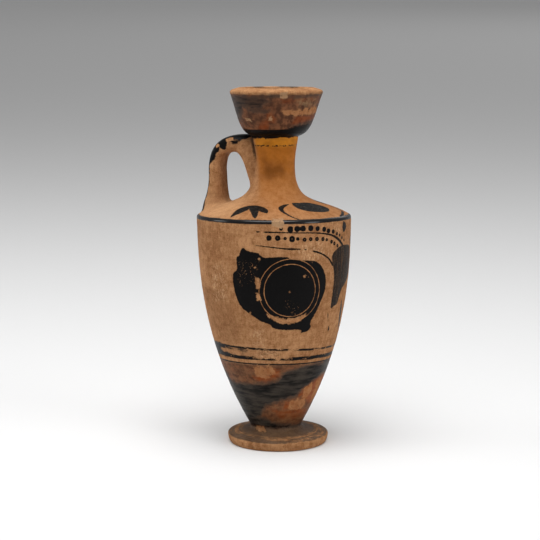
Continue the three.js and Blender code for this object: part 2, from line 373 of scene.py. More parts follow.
def baked(piece):
    """The evaluated shape as a plain mesh. The piece and its modifiers are removed."""
    bpy.context.view_layer.update()
    evaluated = piece.evaluated_get(bpy.context.evaluated_depsgraph_get())
    mesh = bpy.data.meshes.new_from_object(evaluated)
    bpy.data.objects.remove(piece)
    return mesh


def thrown(tree, profile, segments, ridge_depth, clay):
    line = bpy.data.meshes.new("profile")
    line.from_pydata([(r, 0, z) for r, z in profile], [(i, i + 1) for i in range(len(profile) - 1)], [])
    piece = link(line, "thrown")
    modifier = piece.modifiers.new("wheel", "NODES")
    modifier.node_group = tree
    values = {"Rows": len(profile), "Segments": segments, "Ridge depth": ridge_depth,
              "Ridge spacing": RIDGE_SPACING, "Seed": RIDGE_SEED, "Clay": clay}
    for item in tree.interface.items_tree:
        if item.in_out == "INPUT" and item.name in values:
            modifier[item.identifier] = values[item.name]
    return baked(piece)


# Handle: a strap swept along its own back, deep and wide where it is pressed on.

def handle_back():
    leg_top = (HANDLE_REACH, BODY_HEIGHT + NECK_HEIGHT * 0.56)
    arch = bend((NECK_BORE_RADIUS + NECK_WALL * 0.2, MOUTH_Z),
                (HANDLE_REACH * 0.775, MOUTH_Z + HANDLE_ARCH_PULL),
                (HANDLE_REACH, MOUTH_Z - HANDLE_ARCH_PULL), leg_top)
    leg = bend(leg_top, (HANDLE_REACH - HANDLE_LEG_TUCK, BODY_HEIGHT + NECK_HEIGHT * 0.24),
               (BODY_RADIUS - HANDLE_SPLAY_INSET, BODY_HEIGHT + HANDLE_SPLAY_HEIGHT),
               (BODY_RADIUS - HANDLE_FOOT_INSET, BODY_HEIGHT - SHOULDER_EDGE_ROUNDING))
    return join(arch, leg)


def handle_mesh():
    back = handle_back()
    run = lengths(back)
    spine = evenly(back, run[-1] / HANDLE_STEPS)
    along = np.linspace(0, run[-1], len(spine))
    tangent = np.gradient(spine, axis=0)
    tangent /= np.linalg.norm(tangent, axis=1)[:, None]
    at_neck = np.exp(-(along / NECK_PAD_SPREAD) ** 2)
    at_shoulder = np.exp(-((run[-1] - along) / SHOULDER_PAD_SPREAD) ** 2)
    thickness = (HANDLE_THICKNESS + (NECK_PAD - HANDLE_THICKNESS) * at_neck
                 + (SHOULDER_PAD - HANDLE_THICKNESS) * at_shoulder
                 + ARCH_SWELL * np.exp(-((along - ARCH_SWELL_PLACE) / ARCH_SWELL_SPREAD) ** 2))
    width = HANDLE_WIDTH * (1 - 0.2 * at_neck + 0.3 * at_shoulder)
    turn = np.linspace(0, 2 * math.pi, HANDLE_SIDES, endpoint=False)
    across, deep = (np.sign(f) * np.abs(f) ** (2 / HANDLE_SQUARENESS) for f in (np.sin(turn), np.cos(turn)))
    depth = (1 - deep)[None, :] * thickness[:, None] / 2
    out = spine[:, :1] + tangent[:, 1:] * depth
    height = spine[:, 1:] - tangent[:, :1] * depth
    sideways = np.broadcast_to(across, depth.shape) * width[:, None] / 2
    points = np.stack([-out, sideways, height], -1).reshape(-1, 3)
    sides, last = HANDLE_SIDES, (len(spine) - 1) * HANDLE_SIDES
    faces = [(i + j, i + (j + 1) % sides, i + sides + (j + 1) % sides, i + sides + j)
             for i in range(0, last, sides) for j in range(sides)]
    faces += [tuple(range(sides))[::-1], tuple(last + j for j in range(sides))]
    mesh = bpy.data.meshes.new("handle")
    mesh.from_pydata(points.tolist(), [], faces)
    return outwards(mesh)


def outwards(mesh):
    shape = bmesh.new()
    shape.from_mesh(mesh)
    bmesh.ops.recalc_face_normals(shape, faces=shape.faces)
    shape.to_mesh(mesh)
    shape.free()
    return mesh


def cut_or_join(mesh, other, operation):
    piece, tool = link(mesh, "piece"), link(other, "tool")
    boolean = piece.modifiers.new("boolean", "BOOLEAN")
    boolean.object = tool
    boolean.operation = operation
    boolean.solver = "EXACT"
    result = baked(piece)
    bpy.data.objects.remove(tool)
    return result


def coordinates(mesh):
    points = np.empty(len(mesh.vertices) * 3)
    mesh.vertices.foreach_get("co", points)
    return points.reshape(-1, 3)


def put_back(mesh, points):
    mesh.vertices.foreach_set("co", points.astype(np.float32).ravel())
    mesh.update()


def nearest(points, others):
    """Distance from each point to the nearest of a few others."""
    best = np.full(len(points), np.inf)
    for start in range(0, len(others), 200):
        chunk = others[start:start + 200]
        best = np.minimum(best, np.linalg.norm(points[:, None] - chunk[None], axis=2).min(axis=1))
    return best


def soften_roots(mesh, known):
    """Smears the handle's roots on to the pot, and leaves the sharp cleft beside the neck."""
    points = coordinates(mesh)
    quantized = {tuple(p) for p in np.round(known, 3)}
    seam = np.array([p for p in points if tuple(np.round(p, 3)) not in quantized])
    close = np.where((points[:, 0] < -3) & (points[:, 2] > BODY_HEIGHT - 8) & (points[:, 2] < MOUTH_Z + 4))[0]
    distance = np.full(len(points), np.inf)
    distance[close] = nearest(points[close], seam)
    reach = np.where(points[:, 2] > MOUTH_Z - 14, CLEFT_REACH, ROOT_REACH)
    weight = np.where(distance < 2.5 * reach, np.exp(-(distance / reach) ** 2), 0)
    edges = np.empty(len(mesh.edges) * 2, int)
    mesh.edges.foreach_get("vertices", edges)
    edges = edges.reshape(-1, 2)
    edges = edges[(weight[edges] > 0).any(axis=1)]
    count = np.bincount(edges.ravel(), minlength=len(points))[:, None].clip(1)
    for _ in range(SOFTENING_PASSES):
        total = np.zeros_like(points)
        np.add.at(total, edges[:, 0], points[edges[:, 1]])
        np.add.at(total, edges[:, 1], points[edges[:, 0]])
        points += weight[:, None] * 0.5 * np.where(weight[:, None] > 0, total / count - points, 0)
    put_back(mesh, points)
    return distance


def settled(points):
    """Where the leaning jar has a point of the straight one. The foot stays flat."""
    x, y, h = points.T
    x2 = x + NECK_DRIFT * np.maximum(0, h - BODY_HEIGHT) - BODY_DRIFT * h
    turn = (Matrix.Rotation(-LEAN_TO_HANDLE, 3, "Y") @ Matrix.Rotation(-LEAN_SIDEWAYS, 3, "X"))
    leaning = np.stack([x2, y, h], -1) @ np.array(turn).T + (-BODY_OFFSET, 0, FOOT_HEIGHT)
    upright = points + (0, 0, FOOT_HEIGHT)
    share = np.clip((h + 0.5) / (STEM_FILLET + 0.5), 0, 1)
    share = (share * share * (3 - 2 * share))[:, None]
    return upright * (1 - share) + leaning * share


def jar_mesh(clay):
    """The whole jar on its straight axis, in millimetres, as one closed mesh."""
    tree = wheel_tree()
    profile = join(*foot_stretches(), *outside_stretches(), *inside_stretches())
    pot = outwards(thrown(tree, profile, SEGMENTS, RIDGE_DEPTH, clay))
    # The handle's ends are cut off inside the wall, so that none of them stands in the hollow.
    shell = join(body_stretch()[-30:], shoulder_stretch(), neck_stretch(), cup_stretch()[:120])
    core = evenly(inset(shell, BODY_WALL * 0.5), 2.0)
    core = join([(0, core[0][1])], core, [(0, core[-1][1])])
    inner = outwards(thrown(tree, core, CORE_SEGMENTS, 0.0, clay))
    strap = cut_or_join(handle_mesh(), inner, "DIFFERENCE")
    known = np.vstack([coordinates(pot), coordinates(strap)])
    whole = cut_or_join(pot, strap, "UNION")
    return whole, soften_roots(whole, known)


# Chips: degrees round, height, reach, depth, and the radius there.
CHIPS = [(-62, 142.0, 2.2, 0.7, 19.4), (-67, 90.4, 2.6, 0.6, 32.4), (-110, 0.8, 3.4, 0.5, 12.0),
         (-20, 143.4, 1.4, 0.4, 19.4), (35, 142.8, 2.0, 0.5, 19.4), (140, 90.6, 2.2, 0.5, 32.4),
         (-35, -2.6, 1.8, 0.4, 21.3), (150, -2.4, 2.4, 0.5, 21.3)]

# The painting. Outlines on the body, neck and cup are places round the pot and up it. Round places
# are in millimetres at the body's full radius for the picture, and in degrees for broad areas.

EYE = [(-53.3, 80.2), (-54.4, 78.6), (-55, 76.9), (-56.4, 75.6), (-56.2, 71.2), (-58.2, 69.2), (-58.6, 65.1),
       (-57.3, 58.7), (-54.6, 54.6), (-50.1, 51.8), (-46.2, 49.6), (-42.2, 48.3), (-40.5, 46.7), (-36, 46),
       (-27.5, 45.8), (-27.0, 44.5), (-25.4, 44.6), (-23.5, 45), (-21.8, 46.7), (-22.3, 48.8), (-19.3, 53.7),
       (-16.1, 60.8), (-15.5, 65.3), (-16.9, 69.9), (-19.8, 73.2), (-22.8, 74.6), (-33.2, 75.6),
       (-33.7, 76.4), (-38.7, 76.6), (-43.8, 76.4), (-46.0, 77.6), (-46.8, 78.2), (-50.9, 78.9),
       (-52.4, 79.8)]
MIDDLE_PLUME = [(-4.4, 79.8), (-8.8, 78.9), (-12.4, 76.3), (-12.2, 73.3), (-10.4, 67.2), (-10.5, 59.7),
                (-10.6, 55.8), (-10.1, 53.5), (-7.8, 54.6), (-5.5, 55.3), (-2.7, 60.8), (2.3, 63.6),
                (5.6, 66.6), (7.2, 71.6), (6.2, 76.6), (2.6, 79.2)]
# Brush lines end with the brush's half width at each place.
BROW_LINES = [
    [(-47.4, 87.0, 0.15), (-46.4, 86.9, 0.36), (-45.4, 86.9, 0.15)],
    [(-44.1, 86.8, 0.15), (-43, 86.8, 0.33), (-33.7, 86.5, 0.27), (-23, 86.1, 0.27), (-16.8, 85.4, 0.36),
     (-12.5, 84.4, 0.45), (-8.1, 82.3, 0.62), (-4.3, 79.4, 0.6)],
    [(-48.2, 81.4, 0.08), (-43.7, 80.9, 0.24), (-35.7, 80, 0.32), (-33, 79.8, 0.46), (-29.6, 79.7, 0.28),
     (-28.4, 79.6, 0.1)],
    [(-27.3, 79.5, 0.12), (-26.6, 79.4, 0.3), (-25.9, 79.4, 0.12)],
    [(-23.4, 78.7, 0.15), (-21.4, 78.2, 0.42), (-17.9, 76.9, 0.38), (-14.4, 74.8, 0.42), (-11.8, 72, 0.5)],
]
MIDDLE_LINES = [
    [(-12.0, 51.8, 0.1), (-11.8, 51.0, 0.34), (-11, 48.3, 0.12)],
    [(-9.6, 46.2, 0.15), (-9.4, 44.8, 0.6), (-9.3, 43.6, 0.15)],
    [(-0.6, 56, 0.4), (0.6, 52, 1.2), (1.8, 48, 1.3), (3.2, 43.6, 0.6)],
    [(-4.2, 89.0, 1.0), (-3.6, 87.3, 2.1), (-4.0, 85.9, 1.0)],
    [(-30.3, 88, 0.85), (-27.7, 88.1, 0.85)],
]
BROW_DOTS = [(-37, 88.2, 0.5), (-33.1, 87.9, 1.1), (-30.3, 88, 1.0), (-27.7, 88.1, 1.0), (-24.2, 88.1, 1.0),
             (-20.9, 87.8, 0.85), (-17.5, 87.3, 0.85), (-15.1, 86.5, 0.8), (-12.2, 86, 0.7), (-9.6, 85, 0.5),
             (-7.6, 84.2, 0.35), (-5.6, 83.0, 0.35), (-3.6, 81.8, 0.3),
             (-42, 84.4, 0.92), (-38.4, 84.4, 0.92), (-35.3, 84.2, 0.42), (-32.4, 83.9, 1.08),
             (-30, 83.9, 0.52), (-27, 83.5, 0.65), (-24.2, 83.6, 0.6), (-21.2, 83.5, 0.68),
             (-18.1, 83.3, 0.65), (-16, 82.9, 0.42), (-13.1, 81.9, 0.55), (-11.3, 81, 0.55), (-9, 79.9, 0.5)]
# Marks on the shoulder, in plan. The camera is towards the right and down.
SHOULDER_LINES = [
    [(-8.2, -29.0, 0.4), (-6.8, -26, 1.8), (-5.2, -22.9, 2.5), (-2.4, -21.2, 2.3), (1.4, -21.9, 2.0),
     (4.4, -23.8, 1.6), (5.8, -25.2, 0.7)],
    [(-1.4, -22, 1.6), (0.6, -25.2, 1.6), (2.0, -28.4, 1.1), (2.6, -30.0, 0.5)],
    [(11.4, -13.6, 0.25), (10.3, -16.0, 0.95), (9.9, -18.9, 1.15), (11.7, -21.9, 0.75), (16.1, -24.2, 0.4),
     (20.6, -24.4, 0.22)],
    [(22.7, 6.5, 0.4), (27.8, 6.3, 0.6), (30.4, 0, 0.6), (31.0, -5, 0.35)],
    [(13.2, -11.6, 0.4), (14.6, -10.1, 0.9), (16.4, -9.4, 0.5)],
]
SHOULDER_LEAF = [(12.2, -12.2), (14.0, -9.4), (17.0, -4.6), (21.0, -1.4), (24.4, -1.4), (26.2, -5.0),
                 (25.6, -9.0), (23.4, -12.4), (20.0, -15.2), (15.8, -15.4)]

# Broad areas, in degrees round and millimetres up.
BLACK_AREAS = {
    BODY_RADIUS: [
        [(-160, 31), (-150, 28), (-141, 24.5), (-134, 21.8), (-110, 21.6), (-86, 22.2), (-68, 23.4),
         (-60, 27.3),
         (-44, 29.4), (-21, 30.4), (44, 30.4), (40, 27), (16, 25.8), (-10, 23.9), (-30, 19.8), (-43, 16.2),
         (-60, 14.6), (-72, 13.4), (-84, 12), (-91, 9.5), (-98, 6.6), (-130, 3), (-160, 3)],
        [(-184, 31), (-155, 31), (-155, 3), (-184, 3)],
        [(38, 30.5), (110, 30.8), (184, 31), (184, 3), (70, 3), (58, 11), (40, 22)],
        [(-184, 6.2), (-88, 6.2), (-74, 4.0), (-20, 2.8), (20, 3.4), (60, 5), (184, 6), (184, 1.6),
         (-184, 1.6)],
        [(-172, 37.9), (-148, 38.3), (-128, 38.0), (-98, 37.0), (-92, 36.2), (-104, 36.3), (-126, 36.7),
         (-134, 35.6), (-120, 34.5), (-98, 34.2), (-92, 33.6), (-112, 33.0), (-148, 32.8), (-172, 33.2),
         (-154, 35.4), (-172, 37.2)],
    ],
    MOUTH_RADIUS: [
        [(-196, 141.9), (-140, 141.8), (-88, 141.3), (-79, 139.6), (-86, 137.6), (-92, 136), (-121, 136.9),
         (-128, 134), (-140, 131), (-196, 131)],
        [(-123, 136.6), (-104, 134.7), (-90, 134.2), (-80, 135.4), (-96, 136.1)],
        [(-88, 142.0), (-50, 141.7), (-10, 142), (20, 142), (20, 141.3), (-40, 140.9), (-80, 141.0)],
        [(-48, 128.2), (-20, 130.2), (24, 132.4), (60, 132), (60, 126), (-48, 126)],
        [(60, 141.8), (120, 141.8), (196, 142), (196, 128), (90, 127), (70, 134)],
        [(134, 145.5), (147, 145.5), (147, 143.9), (134, 143.9)],
        [(73, 145.5), (105, 145.5), (105, 144.1), (73, 143.9)],
    ],
}
MISFIRED_AREAS = {
    BODY_RADIUS: [[(-184, 30.5), (184, 30.5), (184, 1.4), (-184, 1.4)]],
    MOUTH_RADIUS: [[(-184, 142), (184, 142), (184, 126.4), (-184, 126.4)]],
}
WORN_AREAS = {
    BODY_RADIUS: [
        [(-100, 34.9), (-52, 34.6), (-52, 33.3), (-100, 33.7)],
        [(-94, 30), (-74, 30.1), (-70, 27.3), (-80, 24.8), (-92, 25.2)],
        [(-50, 13.8), (-42, 14.9), (-26, 14.4), (-20, 12.4), (-24, 10.4), (-40, 9.9), (-50, 11)],
        [(-31, 19.6), (-20, 21.6), (-16, 17.2), (-24, 14.6), (-31, 15.4)],
        [(-12, 22), (-2, 22.8), (6, 16), (0, 12.6), (-9, 13.4)],
        [(60, 14), (84, 16), (88, 9), (66, 8)],
    ],
    MOUTH_RADIUS: [
        [(-63, 134.9), (-51, 136.1), (-35, 135.7), (2, 136.6), (14, 134.4), (-34, 133.6), (-53, 133.7)],
        [(92, 137), (116, 138), (118, 135.4), (96, 134.6)],
    ],
}
CHIPPED_AREAS = {
    BODY_RADIUS: [
        [(-126, 1.5), (-112, 2.1), (-98, 1.8), (-94, 0.6), (-108, 0.1), (-124, 0.5)],
        [(-71.5, 92), (-63, 92), (-62.4, 89.6), (-65, 88.4), (-69, 88.7), (-71.4, 89.4)],
        [(136, 91.4), (142, 91.6), (143, 88.8), (138, 88.4)],
        [(-84.3, 67.9), (-81.4, 67.4), (-80.5, 64.6), (-81.4, 63.2), (-83.6, 63.4), (-84.6, 65.4)],
        [(-84.7, 61.6), (-80.9, 61.2), (-80.7, 58.7), (-83.2, 58.1)],
        [(-77, 53.4), (-70, 51.8), (-62, 50.6), (-50, 51.3), (-44, 53), (-44, 51.2), (-50, 49.2), (-58, 48.3),
         (-67, 48.9), (-75, 51.4)],
        [(-84.8, 72.8), (-83.4, 72.9), (-83.4, 71.9), (-84.8, 71.8)],
        [(-82.6, 76.3), (-80, 76.2), (-80.2, 75.5), (-82.4, 75.6)],
        [(-47.6, 68.6), (-46.4, 68.7), (-46.4, 67.9), (-47.4, 67.8)],
        [(-44.6, 68.5), (-43.2, 68.4), (-43.3, 67.7), (-44.5, 67.7)],
        [(-91, 53.6), (-89.2, 53.4), (-89.4, 52.4), (-90.9, 52.5)],
    ],
    MOUTH_RADIUS: [
        [(-81, 133.5), (-76, 133.2), (-75, 131.4), (-80, 131.6)],
        [(-124, 132.2), (-112, 132.1), (-109, 130.4), (-113, 130.9), (-119, 131.1)],
        [(-67, 143.0), (-57, 143.2), (-55.5, 140.6), (-65, 140.5)],
    ],
}
ORANGE_AREAS = {
    BODY_RADIUS: [
        [(-96, 25.6), (-92, 24), (-80, 23.4), (-70, 25), (-70, 27.6), (-80, 24.8)],
        [(-72, 28.4), (-66, 28.4), (-66, 26), (-72, 26)],
        [(-56, 14), (-44, 14.6), (-46, 10.4), (-58, 10.4)],
        [(-40, 22.6), (-14, 24), (8, 24), (10, 14), (-10, 12), (-24, 14), (-38, 16)],
        [(-76, 9.8), (-26, 9.8), (2, 8.6), (0, 5.6), (-60, 6)],
        [(66, 17), (90, 18), (94, 6), (62, 6)],
    ],
    MOUTH_RADIUS: [
        [(-84, 134.2), (-72, 133.8), (-70, 130.8), (-82, 130.8)],
        [(-92, 131), (-82, 131.2), (-82, 128.4), (-102, 127.8)],
        [(-40, 133), (10, 133.4), (10, 131.4), (-20, 130.4), (-44, 129.6)],
        [(-64, 140.6), (-20, 141), (0, 140.4), (-20, 139.6), (-60, 139.2)],
    ],
}
WASHED_AREAS = {
    NECK_TOP_RADIUS: [
        [(-138, 126), (150, 126), (150, 95), (-40, 94), (-70, 95), (-104, 100), (-120, 108), (-131, 116)],
    ],
}
STAINED_AREAS = {
    BODY_RADIUS: [
        [(-146, 63), (-115, 61), (-104, 49.6), (-101, 40), (-121, 37), (-139, 46.7)],
        [(70, 74), (104, 66), (96, 48), (74, 52)],
        [(-150, 37), (-94, 36.8), (-86, 35.2), (-93, 34.2), (-135, 33.6), (-150, 33.8)],
    ],
    NECK_TOP_RADIUS: [[(-100, 114.4), (-50, 113.6), (-43, 109.6), (-78, 107), (-102, 108.8)]],
}
PALE_AREAS = {
    BODY_RADIUS: [
        [(-124, 72), (-108, 72.6), (-110, 57.8), (-129, 56.7)],
        [(-53, 81), (-42, 82), (-29, 83.7), (-26, 76.4), (-41, 74.2), (-51, 76)],
        [(-24, 90.2), (-16, 89.3), (-10, 85.3), (-18, 84.9)],
        [(-90, 46.5), (-79, 46), (-80, 38.1), (-90, 38.9)],
        [(-97, 74.3), (-82, 74.6), (-86, 67), (-98, 65)],
        [(-62, 58), (-50, 56), (-47, 52), (-54, 51.6)],
        [(-86, 37.4), (-66, 37.4), (-66, 33.2), (-86, 33.2)],
        [(120, 80), (142, 70), (128, 60)],
    ],
    MOUTH_RADIUS: [[(-46, 140.6), (-9, 141), (-2, 137.6), (-38, 137)]],
}
# On the handle: places along its back from the neck, and down its side from the back.
HANDLE_SPILLS = [
    [(6.6, -1), (7.0, 2.2), (8.6, 3.0), (10.4, 2.0), (11.0, -1)],
    [(11.2, -1), (11.6, 2.2), (13.2, 2.0), (13.8, -1)],
    [(8.6, 2.4), (9.4, 3.7), (11.8, 3.9), (13.6, 3.0), (11.4, 2.6)],
    [(13.8, -1), (14.2, 3.0), (16.0, 4.2), (17.6, 5.4), (19.2, 4.6), (19.8, 2.2), (20.6, 3.8), (22.4, 4.0),
     (24.4, 3.4), (27.6, 3.2), (29, 1.6), (36, 1.3), (46, 1.4), (50, 2.6), (56, 3.8), (60, 3.8), (60, -1)],
]
HANDLE_WORN = [
    [(5.0, -7), (6.6, -7), (6.9, -5.4), (5.2, -5.2)],
    [(10.8, -7), (14.6, -7), (15.2, -5.6), (13.4, -5), (11.6, -5.2)],
    [(18.8, -7), (20.8, -7), (21.2, -5.8), (19.6, -5.2)],
    [(31, -2.2), (35, -2.6), (38, -1), (36, 1.6), (33, 1)],
    [(9, 3), (13, 3.4), (17, 4.5), (16, 7), (10, 7)],
]
# How far in from its back the handle's slip reaches: place along the back, reach.
HANDLE_SLIP_EDGE = [(4, 0.7), (6, 2.2), (19, 2.2), (23, 1.0), (48, 1.2)]
# The rings of an eye: degrees round from the middle of the front, height, and the two radii.
EYE_RINGS = (57.7, 62.6, 10.95, 13.1)
# Lines painted on the wheel: height, half width, tilt, degrees it tilts towards, unevenness, gaps.
WHEEL_LINES = [(90.75, 0.85, 0.12, -30.0, 0.22, 0.0), (37.1, 0.45, 0.8, -140.0, 0.45, 0.42),
               (33.4, 0.8, 0.3, -170.0, 0.5, 0.36), (30.6, 0.34, 0.3, -75.0, 0.25, 0.0),
               (125.5, 1.8, 0.25, 20.0, 0.6, 0.0), (127.3, 0.3, 0.2, 20.0, 0.3, 0.3),
               (120.6, 0.36, 0.1, 0.0, 0.5, 0.53)]


def smooth_line(places, closed=False, step=LINE_STEP):
    """A curve through the places, which may carry a width as a third number."""
    p = np.array(places, float)
    ends = (p[-1:], p[:2]) if closed else (2 * p[:1] - p[1:2], 2 * p[-1:] - p[-2:-1])
    p = np.vstack([ends[0], p, ends[1]])
    pieces = []
    for a, b, c, d in zip(p, p[1:], p[2:], p[3:]):
        t = np.linspace(0, 1, max(2, math.ceil(np.linalg.norm((c - b)[:2]) / step)), endpoint=False)[:, None]
        pieces.append(0.5 * (2 * b + (c - a) * t + (2 * a - 5 * b + 4 * c - d) * t ** 2
                             + (3 * b - a - 3 * c + d) * t ** 3))
    if not closed:
        pieces.append(p[-2:-1])
    return np.vstack(pieces)


def depth_inside(places, outline, reach=FARTHEST):
    """How far each place is inside an outline, minus outside it, and no less than minus the reach."""
    depth = np.full(len(places), -reach)
    low, high = outline.min(0) - reach, outline.max(0) + reach
    near = np.where(((places > low) & (places < high)).all(1))[0]
    x, y = places[near].T
    best, inside = np.full(len(near), reach), np.zeros(len(near), bool)
    for start, end in zip(outline, np.roll(outline, -1, axis=0)):
        edge = end - start
        t = np.clip(((x - start[0]) * edge[0] + (y - start[1]) * edge[1]) / max(edge @ edge, 1e-9), 0, 1)
        best = np.minimum(best, np.hypot(x - start[0] - t * edge[0], y - start[1] - t * edge[1]))
        if start[1] != end[1]:
            crosses = (start[1] > y) != (end[1] > y)
            inside ^= crosses & (x < start[0] + edge[0] * (y - start[1]) / edge[1])
    depth[near] = np.where(inside, best, -best)
    return depth


def area_depth(points, areas):
    degrees = np.degrees(np.arctan2(points[:, 1], points[:, 0]))
    depth = np.full(len(points), -FARTHEST)
    for radius, outlines in areas.items():
        scale = math.radians(radius)
        places = np.stack([degrees * scale, points[:, 2]], -1)
        for outline in outlines:
            corners = np.array([(d * scale, h) for d, h in outline])
            depth = np.maximum(depth, depth_inside(places, corners))
    return depth


def other_side(marks):
    """The same marks painted again beyond the middle of the front, by the same hand but not traced."""
    return [(-0.97 * m[0] + 1.5, m[1] * 0.99 + 0.5 + 0.3 * math.sin(m[0] * 0.3), *m[2:]) for m in marks]


def handle_places(points):
    """Along the handle's back from the neck, and in from the back."""
    back = evenly(handle_back(), BACK_STEP)
    tangent = np.gradient(back, axis=0)
    tangent /= np.linalg.norm(tangent, axis=1)[:, None]
    flat = np.stack([-points[:, 0], points[:, 2]], -1)
    pick = np.array([np.argmin(((back - place) ** 2).sum(1)) for place in flat])
    offset = flat - back[pick]
    inwards = offset[:, 0] * tangent[pick, 1] - offset[:, 1] * tangent[pick, 0]
    return pick * BACK_STEP, inwards


def outer_radius(height):
    outline = join(*outside_stretches())
    return np.interp(height, outline[:, 1], outline[:, 0])


def give(mesh, name, values, domain="POINT"):
    values = np.asarray(values, np.float32)
    kind = "FLOAT" if values.ndim == 1 else "FLOAT_VECTOR"
    field = "value" if values.ndim == 1 else "vector"
    mesh.attributes.new(name, kind, domain).data.foreach_set(field, values.ravel())


def brush_frame(places, line):
    """For places near one brush line: along it, off it, and its half width there, less past its ends."""
    pick = np.argmin(((places[:, None] - line[None, :, :2]) ** 2).sum(2), axis=1)
    tangent = np.gradient(line[:, :2], axis=0)
    tangent /= np.linalg.norm(tangent, axis=1)[:, None]
    gap = places - line[pick, :2]
    off = gap[:, 0] * tangent[pick, 1] - gap[:, 1] * tangent[pick, 0]
    past = np.maximum((line[0, :2] - places) @ tangent[0], (places - line[-1, :2]) @ tangent[-1])
    return np.stack([pick * LINE_STEP, off, line[pick, 2] - np.maximum(past, 0)], -1)


def dot_frame(places, dot):
    """For places near one dot: how far off its middle they are, and its size."""
    return np.column_stack([places - dot[0, :2], np.full(len(places), dot[0, 2])])


def mark_corners(mesh, places, faces, marks, frame_of, name, reach=3.0):
    """Stores at each corner of the faces near a mark where that corner lies in the mark's own frame."""
    tree = KDTree(sum(len(m) for m in marks))
    for number, mark in enumerate(marks):
        for spot in mark:
            tree.insert((spot[0], spot[1], 0), number)
    tree.balance()
    field = mesh.attributes.get(name) or mesh.attributes.new(name, "FLOAT_VECTOR", "CORNER")
    values = np.empty(len(mesh.loops) * 3, np.float32)
    field.data.foreach_get("vector", values)
    values = values.reshape(-1, 3)
    owned = {}
    for face in faces:
        corners = mesh.polygons[face]
        centre = places[list(corners.vertices)].mean(0)
        _, number, distance = tree.find((centre[0], centre[1], 0))
        if distance < reach:
            owned.setdefault(number, []).extend(corners.loop_indices)
    vertex = np.empty(len(mesh.loops), int)
    mesh.loops.foreach_get("vertex_index", vertex)
    for number, loops in owned.items():
        values[loops] = frame_of(places[vertex[loops]], marks[number])
    field.data.foreach_set("vector", values.ravel())


def paint(mesh, points, seam_distance):
    """Gives the mesh the fields that its material reads: where each kind of slip, wear and stain lies, and
    how far each place is from the handle's seam, for the painted shade in the cleft.
    """
    height, radius = points[:, 2], np.hypot(points[:, 0], points[:, 1])
    round_place = np.arctan2(points[:, 1], points[:, 0]) * BODY_RADIUS
    flat = np.stack([round_place, height], -1)
    plan = points[:, :2]
    on_handle = (points[:, 0] < -5) & (radius > outer_radius(height) + 0.35) & (height > BODY_HEIGHT - 2)
    within = (height > FLOOR_THICKNESS - 1) & (height < LIP_Z + 1)
    hidden = within & (radius < outer_radius(height) - BODY_WALL * 0.5)

    eye = depth_inside(flat, smooth_line(EYE, closed=True))
    eye = np.maximum(eye, depth_inside(flat, smooth_line(other_side(EYE), closed=True)))
    plume = depth_inside(flat, smooth_line(MIDDLE_PLUME, closed=True))
    far_leaf = [(x * 0.86 - 2.2, -y * 1.05 + 4) for x, y in SHOULDER_LEAF]
    leaf = np.maximum(depth_inside(plan, smooth_line(SHOULDER_LEAF, closed=True)),
                      depth_inside(plan, smooth_line(far_leaf, closed=True)))
    on_shoulder = (height > MARKS_START) & (height < MARKS_END)
    plume = np.where(height > MARKS_START, -FARTHEST, plume)
    plume = np.where(on_shoulder, leaf, plume)

    black = area_depth(points, BLACK_AREAS)
    worn = area_depth(points, WORN_AREAS)
    chipped = area_depth(points, CHIPPED_AREAS)
    handle = np.where(on_handle)[0]
    along, inwards = handle_places(points[handle])
    side = np.stack([along, inwards], -1)
    face_on = np.stack([along, points[handle, 1]], -1)
    spill = np.max([depth_inside(side, np.array(spot)) for spot in HANDLE_SPILLS], axis=0)
    rubbed = np.max([depth_inside(face_on, np.array(spot)) for spot in HANDLE_WORN], axis=0)
    edge = np.interp(along, *zip(*HANDLE_SLIP_EDGE)) - inwards
    black[handle] = 2 * np.where(points[handle, 1] < 2, np.maximum(spill, edge), edge)
    chipped[handle] = 2 * np.minimum(rubbed, 2.3 - inwards)
    cup_inside = hidden & (height > MOUTH_Z)
    black[cup_inside] = np.clip((LIP_Z - 1.2 - height[cup_inside]) * 1.5, -2, 3)
    quiet = hidden | on_handle
    fields = {"eye": eye, "plume": plume}
    for name, areas in (("misfired", MISFIRED_AREAS), ("washed", WASHED_AREAS), ("stained", STAINED_AREAS),
                        ("pale", PALE_AREAS), ("orange", ORANGE_AREAS)):
        fields[name] = area_depth(points, areas)
    for name, values in fields.items():
        give(mesh, name, np.where(quiet, -FARTHEST, values))
    give(mesh, "black", black)
    give(mesh, "worn", np.where(quiet, -FARTHEST, worn))
    give(mesh, "chipped", np.where(hidden, -FARTHEST, chipped))
    give(mesh, "cleft", seam_distance)
    give(mesh, "wheel", points)
    give(mesh, "strap", on_handle.astype(float))

    far = np.tile((0, 9, -9), (len(mesh.loops), 1))
    give(mesh, "stroke", far, "CORNER")
    give(mesh, "dot", far, "CORNER")
    centres = np.array([points[list(p.vertices)].mean(0) for p in mesh.polygons])
    outside = np.array([not quiet[list(p.vertices)].any() for p in mesh.polygons])
    on_body = np.where(outside & (centres[:, 2] > 40) & (centres[:, 2] < BODY_HEIGHT)
                       & (np.abs(np.arctan2(centres[:, 1], centres[:, 0])) < 1.9))[0]
    on_top = np.where(outside & (centres[:, 2] > MARKS_START) & (centres[:, 2] < MARKS_END))[0]
    lines = BROW_LINES + MIDDLE_LINES + [other_side(line)[::-1] for line in BROW_LINES]
    mark_corners(mesh, flat, on_body, [smooth_line(line) for line in lines], brush_frame, "stroke")
    tops = SHOULDER_LINES + [[(x * 0.9, -y * 0.96 - 1, w) for x, y, w in line] for line in SHOULDER_LINES[:3]]
    mark_corners(mesh, plan, on_top, [smooth_line(line) for line in tops], brush_frame, "stroke")
    dots = [np.array([(dot[0], dot[1], 0.3 + dot[2] * 0.97)]) for dot in BROW_DOTS + other_side(BROW_DOTS)]
    mark_corners(mesh, flat, on_body, dots, dot_frame, "dot")
    return hidden


# Materials. Every pattern reads the pot's own attributes; "wheel" is the place in millimetres on
# the straight axis, so patterns follow the throwing and not the lean.

